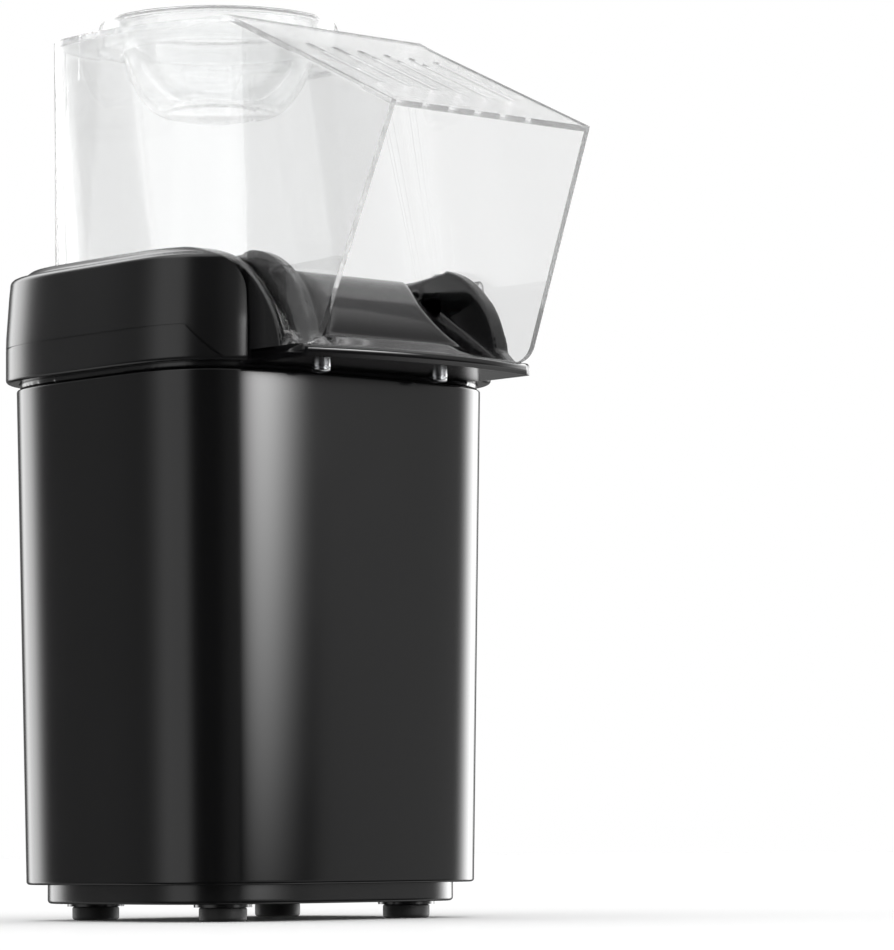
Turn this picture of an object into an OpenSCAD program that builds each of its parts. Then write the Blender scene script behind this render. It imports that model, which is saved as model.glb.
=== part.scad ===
// Hot-air popcorn maker: a tall rounded-square housing with a blown-air popping
// chamber, a chute that throws the popcorn out at the front, a clear lift-off
// hood and a measuring cup that sits in the hood's top.
// Millimetres. +Z is up, the chute faces -Y, and the machine stands on z = 0.

/* [Body] */
// Width of the body across its top
body_w = 136; // [130:1:165]
// Depth of the body at its top
body_d = 117; // [115:1:142]
// Height of the body shell
body_h = 163; // [158:1:200]
// How far each side draws in from the body's top to its bottom
body_draft = 2.7; // [0:0.1:4]
// Wall of the body shell
body_wall = 2.5; // [2:0.1:3]
// Squareness of the rounded-square plan (2 is an ellipse)
plan_power = 4.4; // [3.6:0.1:6]

/* [Base] */
// Height of the rubber feet
foot_h = 4.5; // [3:0.1:8]
// Diameter of a rubber foot
foot_dia = 15.4; // [13:0.1:18.5]
// Distance between left and right feet
foot_span_x = 78; // [70:1:84]
// Distance between front and back feet
foot_span_y = 66; // [60:1:70]
// Height of the base plate that shows below the body
base_h = 7.2; // [5:0.1:10]
// How far the base plate stands in from the body's lower edge
base_inset = 5.8; // [4:0.1:7]
// Width of an air slot in the base
air_slot_w = 3; // [2:0.1:4]

/* [Collar] */
// Height of the collar with its cheek panels
collar_h = 34.8; // [30:0.1:40]
// How far the collar stands out from the body
collar_over = 3; // [2.6:0.1:4]
// Thickness of the collar's panels
collar_wall = 3.6; // [3:0.1:4]
// Shadow gap between the body and the collar
collar_gap = 2; // [1:0.1:3]
// Height of the fine styling line above the body
style_line_z = 13.4; // [10:0.1:18]

/* [Chute] */
// Width of the chute block
chute_w = 97; // [94:1:104]
// How far the lip reaches in front of the body's middle
lip_reach = 92; // [86:1:100]
// Height of the lip's top edge above the body
lip_h = 8.8; // [7:0.1:11]
// Width of the trough that the popcorn runs down
trough_w = 74; // [66:1:80]
// Height of the trough's crest above the body
crest_h = 32.5; // [30:0.1:34]

/* [Hood] */
// Width of the hood at its foot
hood_w = 119; // [110:1:120]
// Width of the hood across its top
hood_top_w = 111; // [100:1:114]
// Width of the hood's spout at its foot
spout_w = 93; // [88:1:93]
// Width of the hood's spout at the roof
spout_top_w = 81; // [76:1:86]
// How far the spout's top lip reaches in front of the body's middle
spout_reach = 120.4; // [112:0.1:130]
// Height of the hood's flat top above the body
hood_top_h = 116.2; // [105:0.1:125]
// Drop of the sloping roof from the fold to the mouth
roof_drop = 38; // [30:1:46]
// Wall of the clear hood
hood_wall = 2; // [1.6:0.1:2.4]
// Number of vent slots in the roof
vent_count = 6; // [2:1:6]
// Width of a vent slot
vent_w = 3; // [2:0.1:4]

/* [Measuring cup] */
// Outside diameter of the cup's rim
cup_rim_dia = 80.2; // [74:0.1:84]
// Diameter of the cup's neck where it passes the hood
cup_neck_dia = 66; // [60:0.1:68]
// Height of the rim above the hood's top
cup_rim_h = 8.7; // [6:0.1:11]
// Depth of the bowl below the hood's top
cup_depth = 22; // [16:0.1:28]
// Diameter of the bowl's flat bottom
cup_bottom_dia = 37; // [30:0.1:42]
// Wall of the cup
cup_wall = 1.8; // [1.4:0.1:2.2]

/* [Popping chamber] */
// Inside diameter of the aluminium chamber
chamber_dia = 80; // [70:0.5:82]
// Depth of the chamber
chamber_depth = 70; // [60:1:72]
// Sheet thickness of the chamber
chamber_wall = 1.2; // [0.8:0.1:1.5]
// Number of air louvres round the chamber
louvre_count = 14; // [8:1:18]

/* [Heater and fan] */
// Outside diameter of the heater housing
heater_dia = 93; // [92:0.5:94]
// Height of the heater housing
heater_h = 58; // [54:1:60]
// Number of turns of the heating coil
coil_turns = 7; // [4:1:8]
// Height of the fan duct
duct_h = 34; // [32:1:36]
// Number of fan blades
blade_count = 8; // [5:1:10]
// Diameter across the fan blades
fan_dia = 86; // [78:0.5:87]

/* [Motor] */
// Diameter of the motor can
motor_dia = 32; // [28:0.5:36]
// Length of the motor can
motor_len = 34; // [30:0.5:36]
// Diameter of the motor shaft
shaft_dia = 3; // [2.5:0.1:3.5]

/* [Controls] */
// Width of the rocker switch's frame
switch_w = 21; // [18:0.5:24]
// Height of the rocker switch's frame
switch_h = 15; // [13:0.5:17]
// Half of the rocker's swing
rocker_tilt = 8; // [5:0.5:10]
// Diameter of the hole for the mains lead
cord_hole_dia = 7.2; // [6:0.1:8]

/* [Hidden] */

$fn = 64;
eps = 0.01;          // small overlap that lets cuts break the surface
fit = 0.3;           // gap between pieces that only sit beside each other
slack = 0.05;        // radial gap round a screw's shank

black = [0.05, 0.05, 0.055];
soft_black = [0.13, 0.13, 0.135];
clear = [0.85, 0.9, 0.95, 0.35];
steel = [0.75, 0.76, 0.78];

// Heights, from the floor up
base_z = foot_h + 1;
body_z = foot_h + base_h;
body_top = body_z + body_h;
collar_z = body_top + collar_gap;
collar_top = collar_z + collar_h;
rim_z = body_top + 39.3;                 // top of the glossy rim round the hood
deck_z = body_top + 31.3;                // top edge of the chamber's throat
deck_t = 3;                              // deck thickness over the chamber flange
lip_z = body_top + lip_h;
lip_bottom = body_top + 1.3;
crest_z = body_top + crest_h;
hood_top = body_top + hood_top_h;
mouth_z = hood_top - roof_drop;

// Half sizes of the plan outlines
body_a = body_w / 2;
body_b = body_d / 2;
foot_a = body_a - body_draft;
foot_b = body_b - body_draft;
collar_a = body_a + collar_over;
collar_b = body_b + collar_over;
rim_a = collar_a - collar_wall - 0.2;
rim_b = collar_b - collar_wall - 0.2;
block_a = chute_w / 2;

// Hood outline: half widths, back, and where the sides draw in to the spout
hood_a = hood_w / 2;
hood_back = collar_b - 10.8;
hood_top_a = hood_top_w / 2;
hood_top_back = hood_back - 2.5;
spout_a = spout_w / 2;
spout_top_a = spout_top_w / 2;
neck_y = -body_b + 0.5;                  // spout begins here at the hood's foot
cheek_y = -body_b + 30.5;                // full width ends here at the hood's foot
neck_top_y = neck_y + 6;
cheek_top_y = 12;
fold_y = -39.7;                          // fold between flat top and sloping roof
roof_run = spout_reach + fold_y;
roof_tilt = atan(roof_drop / roof_run);
tip_y = -lip_reach + 9.4;                // middle of the rounded tip of each side wall
tip_r = 8.5;
tip_z = lip_bottom + 4.2;                // lowest point of the tip
hood_sink = 3.6;                         // how deep the hood's edge sits in its groove
hood_foot_z = rim_z - hood_sink;
groove_gap = 0.5;                        // clearance round the hood in its groove

// The frame is centred under the machine's overall box
frame_y = (spout_reach - collar_b) / 2;

// Chamber, heater, fan and motor hang under the deck on one upright axis
chamber_y = 3;
chamber_r = chamber_dia / 2;
chamber_out = chamber_r + chamber_wall;
gasket_t = 1.2;
flange_r = chamber_r + 6;
flange_z = deck_z - deck_t - gasket_t - chamber_wall;
clamp_t = 1.5;
clamp_z = flange_z - clamp_t;
clamp_screw_r = chamber_r + 9.5;
chamber_bottom = deck_z - 6 - chamber_depth;
heater_r = heater_dia / 2;
heater_wall = 0.8;
heater_z = chamber_bottom - 34;
heater_top = heater_z + heater_h;
stack_flange_r = heater_r + 3;
stack_screw_r = heater_r + 6.5;
stack_angles = [15, 165, 195, 345];
duct_z = heater_z - duct_h;
duct_in = heater_r - 1.5;
spider_t = 3.5;
spider_r = motor_dia / 2 + 3;
fan_z = duct_z + 8;
fan_h = 16;
hub_r = 12;
shaft_r = shaft_dia / 2;
run_gap = 0.03;                          // radial running fit of shaft in bush
motor_top = duct_z - 0.5;
motor_z = motor_top - motor_len;
motor_r = motor_dia / 2;
can_wall = 1;
boss_r = 5;

// Screw sizes: shank radius, head radius, head height
m3 = [1.5, 3.1, 2.2];
m2 = [1.2, 2.2, 1.5];

// Rear panel parts
switch_x = -28;
switch_z = body_z + 30;
gland_x = 30;
gland_z = body_z + 16;
gland_flange_r = 8;
board_x = 38;

// Half size of the body's outline at height z
function side_a(z) = foot_a + body_draft * (z - body_z) / body_h;
function side_b(z) = foot_b + body_draft * (z - body_z) / body_h;

// Depth of a rounded square at distance x from its middle
function oval_y(a, b, x) = b * pow(1 - pow(min(1, abs(x) / a), plan_power), 1 / plan_power);

// Outline of a rounded square with half sizes a and b
function oval(a, b, steps = 72) = [
    for (i = [0:steps - 1])
        let (t = 360 * i / steps, c = cos(t), s = sin(t))
        [a * sign(c) * pow(abs(c), 2 / plan_power), b * sign(s) * pow(abs(s), 2 / plan_power)]
];

// Smooth step from 0 to 1
function ease(u) = let (v = max(0, min(1, u))) v * v * (3 - 2 * v);

// Right half of the hood's plan, from the spout's front to the middle of the back
function bell_half(a, spout, back, full_y, neck, reach) = concat(
    [[spout, -reach]],
    [for (i = [0:12])
        let (u = i / 12) [spout + (a - spout) * ease(u), neck + (full_y - neck) * u]],
    [for (i = [1:14])
        let (t = 90 * i / 14)
        [a * pow(cos(t), 2 / plan_power), full_y + (back - full_y) * pow(sin(t), 2 / plan_power)]]
);

// Whole plan: the right half and its mirror image
function bell(a, spout, back, full_y, neck, reach) =
    let (half = bell_half(a, spout, back, full_y, neck, reach))
    concat(half, [for (i = [len(half) - 2:-1:0]) [-half[i][0], half[i][1]]]);

// Outline of the hood at its foot and at its top, moved in by d
function hood_foot_plan(d) = bell(hood_a - d, spout_a - d, hood_back - d, cheek_y, neck_y, 160);
function hood_top_plan(d) =
    bell(hood_top_a - d, spout_top_a - d, hood_top_back - d, cheek_top_y, neck_top_y, 160);

// Height of the glossy rim at depth y: level, then falling to the lip in an arc
rim_arc_y = -40;
rim_arc_run = lip_reach - 18 + rim_arc_y;
rim_arc_drop = rim_z - lip_bottom - 4;
function rim_height(y) =
    y >= rim_arc_y ? rim_z - 0.016 * (y - rim_arc_y)
    : rim_z - rim_arc_drop
      + rim_arc_drop * pow(1 - pow(min(1, (rim_arc_y - y) / rim_arc_run), 1.6), 0.625);

// Height of the inner cheek ridge, a little further forward than the rim
ridge_y = -48;
ridge_run = lip_reach - 11 + ridge_y;
ridge_drop = rim_z - 0.6 - lip_bottom - 4;
function ridge_height(y) =
    y >= ridge_y ? rim_z - 0.6
    : rim_z - 0.6 - ridge_drop
      + ridge_drop * sqrt(1 - pow(min(1, (ridge_y - y) / ridge_run), 2));

// Height of the trough's floor: a crest, then a waterfall down to the lip
crest_y = -52;
fall_run = lip_reach - 4 + crest_y;
function floor_height(y) =
    y >= crest_y ? crest_z - (crest_z - deck_z) * ease((y - crest_y) / 18)
    : lip_z + (crest_z - lip_z) * cos(90 * pow(min(1, (crest_y - y) / fall_run), 1.25));

// Moves a piece from the body's axis to the machine's own frame
module place() translate([0, frame_y, 0]) children();

// Moves a piece to the chamber's axis at height z
module on_axis(z = 0) translate([0, chamber_y, z]) children();

// Upright prism of a rounded square between two heights
module prism(a, b, z0, z1) translate([0, 0, z0]) linear_extrude(z1 - z0) polygon(oval(a, b));

// Solid skin through level outlines of equal length, each given as [points, height]
module loft(levels) {
    n = len(levels[0][0]);
    top = len(levels) - 1;
    polyhedron(
        points = [for (level = levels, p = level[0]) [p[0], p[1], level[1]]],
        faces = concat(
            [[for (i = [0:n - 1]) i]],
            [for (k = [0:top - 1], i = [0:n - 1])
                [k * n + i, (k + 1) * n + i, (k + 1) * n + (i + 1) % n, k * n + (i + 1) % n]],
            [[for (i = [n - 1:-1:0]) top * n + i]]
        )
    );
}

// Rounded square whose half sizes go from a0, b0 to a1, b1
module taper(a0, b0, a1, b1, z0, z1) loft([[oval(a0, b0), z0], [oval(a1, b1), z1]]);

// Extrudes a side profile, drawn as [depth, height], to a width across X
module across(w) rotate([90, 0, 90]) translate([0, 0, -w / 2]) linear_extrude(w) children();

// Tapered body of the hood moved in by d
module hood_body(d)
    loft([[hood_foot_plan(d), lip_bottom - 10], [hood_top_plan(d), hood_top],
          [hood_top_plan(d), hood_top + 5]]);

// Ring of rectangle section
module tube(r_out, r_in, h) difference() {
    cylinder(r = r_out, h = h);
    translate([0, 0, -1]) cylinder(r = r_in, h = h + 2);
}

// Slot with round ends along Y, middle to middle of its ends, standing on z = 0
module slot(length, width, h) {
    translate([-width / 2, -length / 2, 0]) cube([width, length, h]);
    for (y = [-1, 1]) translate([0, y * length / 2, 0]) cylinder(r = width / 2, h = h);
}

// Pan-head screw standing on z = 0 with its shank going up
module screw(size, length) {
    translate([0, 0, -size[2]]) cylinder(r1 = size[1] - 0.7, r2 = size[1], h = 0.7);
    difference() {
        translate([0, 0, 0.7 - size[2]]) cylinder(r = size[1], h = size[2] - 0.7);
        translate([0, 0, -size[2]]) cylinder(r = 0.9, h = 1, $fn = 6);
    }
    translate([0, 0, -eps]) cylinder(r = size[0], h = length + eps);
}

// Children at the four feet
module at_feet() for (x = [-1, 1], y = [-1, 1])
    translate([x * foot_span_x / 2, y * foot_span_y / 2, 0]) children();

// Children at the four screws that hold the chute frame on the body
frame_screw_x = body_a - 21;
frame_screw_y = body_b - 18;
module at_frame_screws() for (x = [-1, 1], y = [-1, 1])
    translate([x * frame_screw_x, y * frame_screw_y, 0]) children();

// Children at the clamp ring's screws
module at_clamp_screws() for (t = [45:90:315])
    on_axis() rotate(t) translate([clamp_screw_r, 0, 0]) children();

// Children at the screws that join the heater housing and the fan duct
module at_stack_screws() for (t = stack_angles)
    on_axis() rotate(t) translate([stack_screw_r, 0, 0]) children();

// ---- Base ----------------------------------------------------------------

stem_r = 4.5;
stem_h = 1.6;
screw_pocket = 3.2;
module rubber_feet() color(black) place() at_feet() {
    cylinder(r1 = foot_dia / 2 - 0.8, r2 = foot_dia / 2, h = 0.8);
    translate([0, 0, 0.8]) cylinder(r = foot_dia / 2, h = foot_h - 0.8);
    translate([0, 0, foot_h - eps]) cylinder(r = stem_r, h = stem_h + eps);
}

base_floor = 2.4;
post_h = 9;
module base_plate() color(soft_black) place() difference() {
    union() {
        difference() {
            union() {
                prism(foot_a - base_inset, foot_b - base_inset, base_z, body_z);
                prism(foot_a - body_wall - fit, foot_b - body_wall - fit, body_z, body_z + 2.4);
            }
            prism(foot_a - base_inset - 2.4, foot_b - base_inset - 2.4,
                  base_z + base_floor, body_z + 3);
        }
        at_feet() translate([0, 0, foot_h]) cylinder(r = foot_dia / 2 + 1.6, h = 1 + eps);
        at_feet() translate([0, 0, base_z]) cylinder(r = 6.2, h = body_z + 2.4 - base_z);
        for (x = [-1, 1], y = [-1, 1])
            translate([board_x + x * 9, y * 11, base_z]) cylinder(r = 3, h = base_floor + post_h);
    }
    at_feet() {
        translate([0, 0, foot_h - 1]) cylinder(r = stem_r + 0.1, h = 1 + stem_h + screw_pocket);
        translate([0, 0, base_z]) cylinder(r = m3[0] + 0.2, h = 20);
    }
    for (x = [-1, 1], y = [-1, 1])
        translate([board_x + x * 9, y * 11, base_z + base_floor])
            cylinder(r = m2[0] + slack, h = post_h + 1);
    for (x = [-24:6:24]) translate([x, 0, base_z - 2]) slot(34, air_slot_w, base_floor + 4);
}

base_seat = foot_h + stem_h + screw_pocket;
module base_screws() color(steel) place() at_feet() translate([0, 0, base_seat]) screw(m3, 16);

// ---- Body ----------------------------------------------------------------

boss_base = body_z + 2.4 + eps;
shelf_t = 2.5;
module body_shell() color(black) place() {
    difference() {
        union() {
            difference() {
                taper(foot_a, foot_b, body_a, body_b, body_z, body_top);
                taper(foot_a - body_wall, foot_b - body_wall, body_a - body_wall,
                      body_b - body_wall, body_z - eps, body_top + eps);
            }
            // shelf under the chute frame
            difference() {
                prism(body_a - 1.2, body_b - 1.2, body_top - shelf_t, body_top);
                prism(body_a - body_wall - 3.5, body_b - body_wall - 3.5,
                      body_top - shelf_t - 1, body_top + 1);
            }
            at_frame_screws() translate([0, 0, body_top - shelf_t]) cylinder(r = 5, h = shelf_t);
            for (x = [-1, 1], y = [-1, 1])
                translate([x * (frame_screw_x + 7) - 7, y * (frame_screw_y + 6) - 5,
                           body_top - shelf_t])
                    cube([14, 10, shelf_t]);
            // posts for the base screws, each with a web to the side wall
            at_feet() translate([0, 0, boss_base]) cylinder(r = 5, h = 18);
            for (x = [-1, 1], y = [-1, 1])
                translate([x * (foot_span_x / 2 + foot_a - body_wall / 2) / 2,
                           y * foot_span_y / 2, boss_base + 9])
                    cube([foot_a - body_wall / 2 - foot_span_x / 2 - 3, 2, 18], center = true);
        }
        at_feet() translate([0, 0, boss_base - 1]) cylinder(r = m3[0] + slack, h = 15);
        at_frame_screws() translate([0, 0, body_top - 5]) cylinder(r = m3[0] + 0.2, h = 10);
        // switch opening and its shallow seat
        translate([switch_x - switch_w / 2 + 1, 0, switch_z - switch_h / 2 + 1])
            cube([switch_w - 2, body_b + 5, switch_h - 2]);
        translate([switch_x - switch_w / 2 - 0.2, seat_y(switch_z, switch_x),
                   switch_z - switch_h / 2 - 0.2])
            cube([switch_w + 0.4, 10, switch_h + 0.4]);
        // hole and seat for the cord gland
        translate([gland_x, 0, gland_z]) rotate([-90, 0, 0])
            cylinder(r = gland_neck_r + 0.2, h = body_b + 5);
        translate([gland_x, seat_y(gland_z, gland_x), gland_z]) rotate([-90, 0, 0])
            cylinder(r = gland_flange_r + 0.2, h = 10);
    }
}

// Depth of a flat seat sunk into the rear wall at height z, beside x
function seat_y(z, x) = oval_y(side_a(z), side_b(z), abs(x) + 11) - 1;
gland_neck_r = cord_hole_dia / 2 + 2;

// ---- Collar --------------------------------------------------------------

cheek_end = block_a + 0.5;               // cheek panels end here, beside the chute block
cheek_r = 13;                            // rounding of each panel's front top corner
style_cut = 0.35;
// Outside of the collar, as [how far in, height]
collar_levels = [[1.2, collar_z], [0, collar_z + 1.6], [0, body_top + style_line_z],
                 [1.2, collar_top - 2.4], [3, collar_top]];
module collar() color(soft_black) place() difference() {
    loft([for (level = collar_levels) [oval(collar_a - level[0], collar_b - level[0]), level[1]]]);
    prism(collar_a - collar_wall, collar_b - collar_wall, collar_z - 1, collar_top + 1);
    // front opening with rounded shoulders
    translate([0, 0, collar_z - 1]) rotate([90, 0, 0]) linear_extrude(200) difference() {
        translate([-cheek_end - cheek_r, 0])
            square([2 * (cheek_end + cheek_r), collar_h + 10]);
        for (x = [-1, 1]) {
            translate([x * (cheek_end + cheek_r), collar_h + 1 - cheek_r - 1.5])
                circle(r = cheek_r);
            translate([x > 0 ? cheek_end : -cheek_end - cheek_r - 1, -1])
                square([cheek_r + 1, collar_h + 1 - cheek_r - 0.5]);
        }
    }
    // fine styling line round the sides and the back
    difference() {
        prism(collar_a + 5, collar_b + 5, body_top + style_line_z - 0.2,
              body_top + style_line_z + 0.2);
        prism(collar_a - style_cut, collar_b - style_cut, body_top, rim_z);
        translate([-100, -200, body_top]) cube([200, 200 - body_b + 11, 40]);
    }
}

// ---- Chute frame ---------------------------------------------------------

bow = 7.5;                               // how far the lip bulges forward in its middle
bow_r = (pow(block_a, 2) + pow(bow, 2)) / (2 * bow);
frame_wall = 3;

// Chute block's plan: straight sides and a bowed front, moved in by d
module block_plan(d) intersection() {
    translate([-block_a + d, -lip_reach - 5]) square([chute_w - 2 * d, lip_reach + 5 + chamber_y]);
    translate([0, bow_r - lip_reach]) circle(r = bow_r - d, $fn = 120);
}

// Side profile under the rim's top edge
module rim_profile() polygon(concat(
    [[rim_b + 5, lip_bottom - 5], [rim_b + 5, rim_height(rim_b + 5)],
     [rim_arc_y + 6, rim_height(rim_arc_y + 6)]],
    [for (i = [0:16]) let (y = rim_arc_y - rim_arc_run * sin(90 * i / 16)) [y, rim_height(y)]],
    [[rim_arc_y - rim_arc_run, lip_bottom - 5]]
));

// Side profile under the cheeks' inner ridge
module ridge_profile() polygon(concat(
    [[0, lip_bottom - 5], [0, ridge_height(0)]],
    [for (i = [0:16]) let (y = ridge_y - ridge_run * sin(90 * i / 16)) [y, ridge_height(y)]],
    [[ridge_y - ridge_run, lip_bottom - 5]]
));

// Side profile of the space above the trough's floor, moved down by d
module floor_profile(d) polygon(concat(
    [[-30, deck_z - d], [-30, rim_z + 20], [-lip_reach - 20, rim_z + 20], [-lip_reach - 20, lip_z - d],
     [-lip_reach + 4, lip_z - d]],
    [for (i = [0:15]) let (y = -lip_reach + 4 + (lip_reach - 4 + crest_y) * i / 16)
        [y, floor_height(y) - d]],
    [for (i = [0:8]) let (y = crest_y + (-30 - crest_y - 0.5) * i / 8) [y, floor_height(y) - d]]
));

trough_a = trough_w / 2;
module chute_frame() color(black) place() difference() {
    union() {
        difference() {
            frame_block();
            groove();
            frame_hollows();
        }
        // posts for the screws
        at_frame_screws() hull() {
            translate([0, 0, body_top]) cylinder(r = 4.2, h = 16, $fn = 32);
            translate([0, 0, body_top]) cylinder(r = 1.5, h = 22, $fn = 32);
        }
        for (t = [45:90:315]) on_axis(flange_z) rotate(t) hull() for (out = [0, 3])
            translate([clamp_screw_r + out, 0, 0])
                cylinder(r = 3.1, h = deck_z - 1 - flange_z, $fn = 32);
        at_lip_screws() hull() {
            translate([0, 0, lip_bottom + under_t])
                cylinder(r = 3.2, h = floor_height(lip_screw_y) - lip_bottom - under_t - 3, $fn = 32);
            translate([0, 2, lip_bottom + under_t + 3])
                cylinder(r = 1.5, h = floor_height(lip_screw_y) - lip_bottom - under_t - 5, $fn = 32);
        }
    }
    // throat over the chamber, opening out to the hood
    hull() {
        on_axis(deck_z - eps) cylinder(r = chamber_r, h = eps, $fn = 48);
        translate([0, 0, rim_z - 2]) linear_extrude(10) polygon(throat_plan());
    }
    on_axis(deck_z - 20) cylinder(r = chamber_r, h = 21);
    // trough of the chute
    across(trough_w) floor_profile(0);
    at_frame_screws() translate([0, 0, body_top - 10]) cylinder(r = m3[0] + slack, h = 19);
    at_clamp_screws() translate([0, 0, flange_z - 1])
        cylinder(r = m2[0] + slack, h = deck_z - flange_z - 0.5);
    at_lip_screws() translate([0, 0, lip_bottom - 1]) cylinder(r = m3[0] + slack, h = 11);
}

// Outer shape of the frame: foot plate, spigot, rim, cheeks and lip
module frame_block() {
    prism(body_a - 1, body_b - 1, body_top, collar_z);
    difference() {
        prism(body_a - body_wall - 3.8, body_b - body_wall - 3.8, body_top - 6, body_top + 1);
        prism(body_a - body_wall - 6, body_b - body_wall - 6, body_top - 7, body_top + 2);
        // the spigot is cut away at the corners, where the shelf carries the screws
        for (x = [-1, 1], y = [-1, 1])
            translate([x * (frame_screw_x + 10), y * (frame_screw_y + 10), body_top - 4])
                cube([38, 34, 8], center = true);
    }
    // wall and rim round the hood, its front arms falling to the lip
    intersection() {
        union() {
            loft([[oval(rim_a, rim_b), body_top], [oval(rim_a, rim_b), rim_z - 5],
                  [oval(rim_a - 1.2, rim_b - 1.2), rim_z - 2],
                  [oval(rim_a - 4.5, rim_b - 4.5), rim_z + 1]]);
            translate([0, 0, lip_bottom]) linear_extrude(60) block_plan(0);
        }
        across(300) rim_profile();
    }
    // cheeks inside the hood, and the lip
    intersection() {
        translate([0, 0, lip_bottom]) linear_extrude(60) block_plan(5.2);
        across(300) ridge_profile();
    }
    translate([0, 0, lip_bottom]) linear_extrude(lip_z - 3.4 - lip_bottom) lip_plan();
    translate([0, 0, lip_bottom]) linear_extrude(lip_z - lip_bottom) block_plan(4.6);
}

// Plan of the lip, with rounded ends
lip_r = 4;
function bow_y(x) = -lip_reach + bow_r - sqrt(pow(bow_r, 2) - pow(x, 2));
module lip_plan() difference() {
    block_plan(0);
    for (x = [-1, 1]) translate([x * (block_a - lip_r), bow_y(block_a - lip_r) + lip_r])
        difference() {
            translate([x > 0 ? 0 : -lip_r - 1, -lip_r - 1]) square([lip_r + 1, lip_r + 1]);
            circle(r = lip_r);
        }
}

function throat_plan() =
    bell(hood_a - 4.2, trough_a, hood_back - 4.2, cheek_y, neck_y + 6, -neck_y - 2);

// Groove that the hood's lower edge drops into
module groove() intersection() {
    difference() {
        hood_body(-groove_gap);
        hood_body(hood_wall + groove_gap);
    }
    across(300) hood_profile(groove_gap, 40);
}

under_t = 2;
module frame_hollows() {
    // space inside the walls, under the deck
    intersection() {
        prism(rim_a - frame_wall, rim_b - frame_wall, body_top + 1, deck_z - deck_t);
        translate([-100, -body_b + frame_wall, 0]) cube([200, 200, 400]);
    }
    prism(body_a - body_wall - 6, body_b - body_wall - 6, body_top - 1, body_top + 2);
    // space under the trough's floor
    intersection() {
        translate([0, 0, body_top]) linear_extrude(60) block_plan(11);
        difference() {
            translate([-trough_a + 3, -lip_reach, 0]) cube([trough_w - 6, lip_reach - body_b + 4, 400]);
            across(300) floor_profile(frame_wall);
        }
    }
    // seat of the underplate
    translate([0, 0, lip_bottom - 3]) linear_extrude(3 + under_t) under_plan(1.8);
}

module under_plan(d) intersection() {
    block_plan(d);
    translate([-100, -lip_reach]) square([200, lip_reach - body_b - 1]);
}

lip_screw_x = 25;
lip_screw_y = -66;
module at_lip_screws() for (x = [-1, 1]) translate([x * lip_screw_x, lip_screw_y, 0]) children();

module chute_underplate() color(soft_black) place() difference() {
    translate([0, 0, lip_bottom]) linear_extrude(under_t) under_plan(2);
    at_lip_screws() translate([0, 0, lip_bottom - 1]) cylinder(r = m3[0] + 0.2, h = 9);
}

module chute_screws() color(steel) place() at_lip_screws() translate([0, 0, lip_bottom]) screw(m3, 7);

module frame_screws() color(steel) place()
    at_frame_screws() translate([0, 0, body_top - shelf_t]) screw(m3, 10);

// ---- Hood ----------------------------------------------------------------

// Side profile of the hood: d moves its edges outward, up opens it past its roof
module hood_profile(d, up = 0) polygon(concat(
    [[hood_back + 10, hood_top + up], [hood_back + 10, hood_foot_z - d]],
    [[rim_arc_y + d, hood_foot_z - d]],
    [for (i = [1:14]) let (y = rim_arc_y - (rim_arc_run - 2) * sin(90 * i / 15))
        [y + d, rim_height(y) - hood_sink - d]],
    [for (i = [0:10]) let (t = -25 - 125 * i / 10)
        [tip_y + (tip_r + d) * cos(t), tip_z + tip_r + (tip_r + d) * sin(t)]],
    [[-spout_reach - d - 0.4 * up, mouth_z + up], [fold_y, hood_top + up]]
));

module roof_profile(d) polygon([
    [hood_back + 20, -50], [hood_back + 20, hood_top - d],
    [fold_y + d * tan(roof_tilt / 2), hood_top - d],
    [-spout_reach - 60, hood_top - d - (spout_reach + 60 + fold_y) * tan(roof_tilt) - 0.2],
    [-spout_reach - 60, -50]
]);

cup_y = 15.5;
vent_pitch = 11;
vent_from = 25.6;
vent_to = 66.8;
module hood() color(clear) place() difference() {
    intersection() {
        hood_body(0);
        across(300) hood_profile(0);
    }
    intersection() {
        hood_body(hood_wall);
        across(300) roof_profile(hood_wall);
    }
    // hole for the measuring cup
    translate([0, cup_y, hood_top - 10]) cylinder(r = cup_neck_dia / 2 + 0.6, h = 20);
    // vent slots down the sloping roof
    translate([0, fold_y, hood_top]) rotate([roof_tilt, 0, 0])
        for (i = [0:vent_count - 1])
            translate([(i - (vent_count - 1) / 2) * vent_pitch, -(vent_from + vent_to) / 2, -6])
                slot(vent_to - vent_from - vent_w, vent_w, 12);
}

// ---- Measuring cup -------------------------------------------------------

cup_neck_r = cup_neck_dia / 2;
cup_bottom_r = cup_bottom_dia / 2;
cup_rim_r = cup_rim_dia / 2;
cup_top = hood_top + cup_rim_h;
cup_seat = hood_top + 0.3;
function bowl_r(u) = cup_bottom_r + (cup_neck_r - cup_bottom_r) * pow(1 - pow(u, 1.6), 0.625);
module measuring_cup() color(clear) place() translate([0, cup_y, 0]) rotate_extrude($fn = 96)
    polygon(concat(
        // outside: up the bowl, out under the rim and up its skirt
        [[0, hood_top - cup_depth], [cup_bottom_r, hood_top - cup_depth]],
        [for (i = [7:-1:0]) let (u = i / 8) [bowl_r(u), hood_top - cup_depth * u]],
        [[cup_neck_r, cup_top - cup_wall], [cup_rim_r - cup_wall, cup_top - cup_wall],
         [cup_rim_r - cup_wall, cup_seat], [cup_rim_r, cup_seat], [cup_rim_r, cup_top - 1.2],
         [cup_rim_r - 0.4, cup_top - 0.3], [cup_rim_r - 1.2, cup_top],
         [cup_neck_r - cup_wall + 1, cup_top], [cup_neck_r - cup_wall, cup_top - 1]],
        // inside: down the bowl
        [for (i = [0:7]) let (u = i / 8)
            [bowl_r(u) - cup_wall, hood_top - (cup_depth - cup_wall) * u]],
        [[cup_bottom_r - cup_wall, hood_top - cup_depth + cup_wall],
         [0, hood_top - cup_depth + cup_wall]]
    ));

// ---- Popping chamber -----------------------------------------------------

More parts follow.
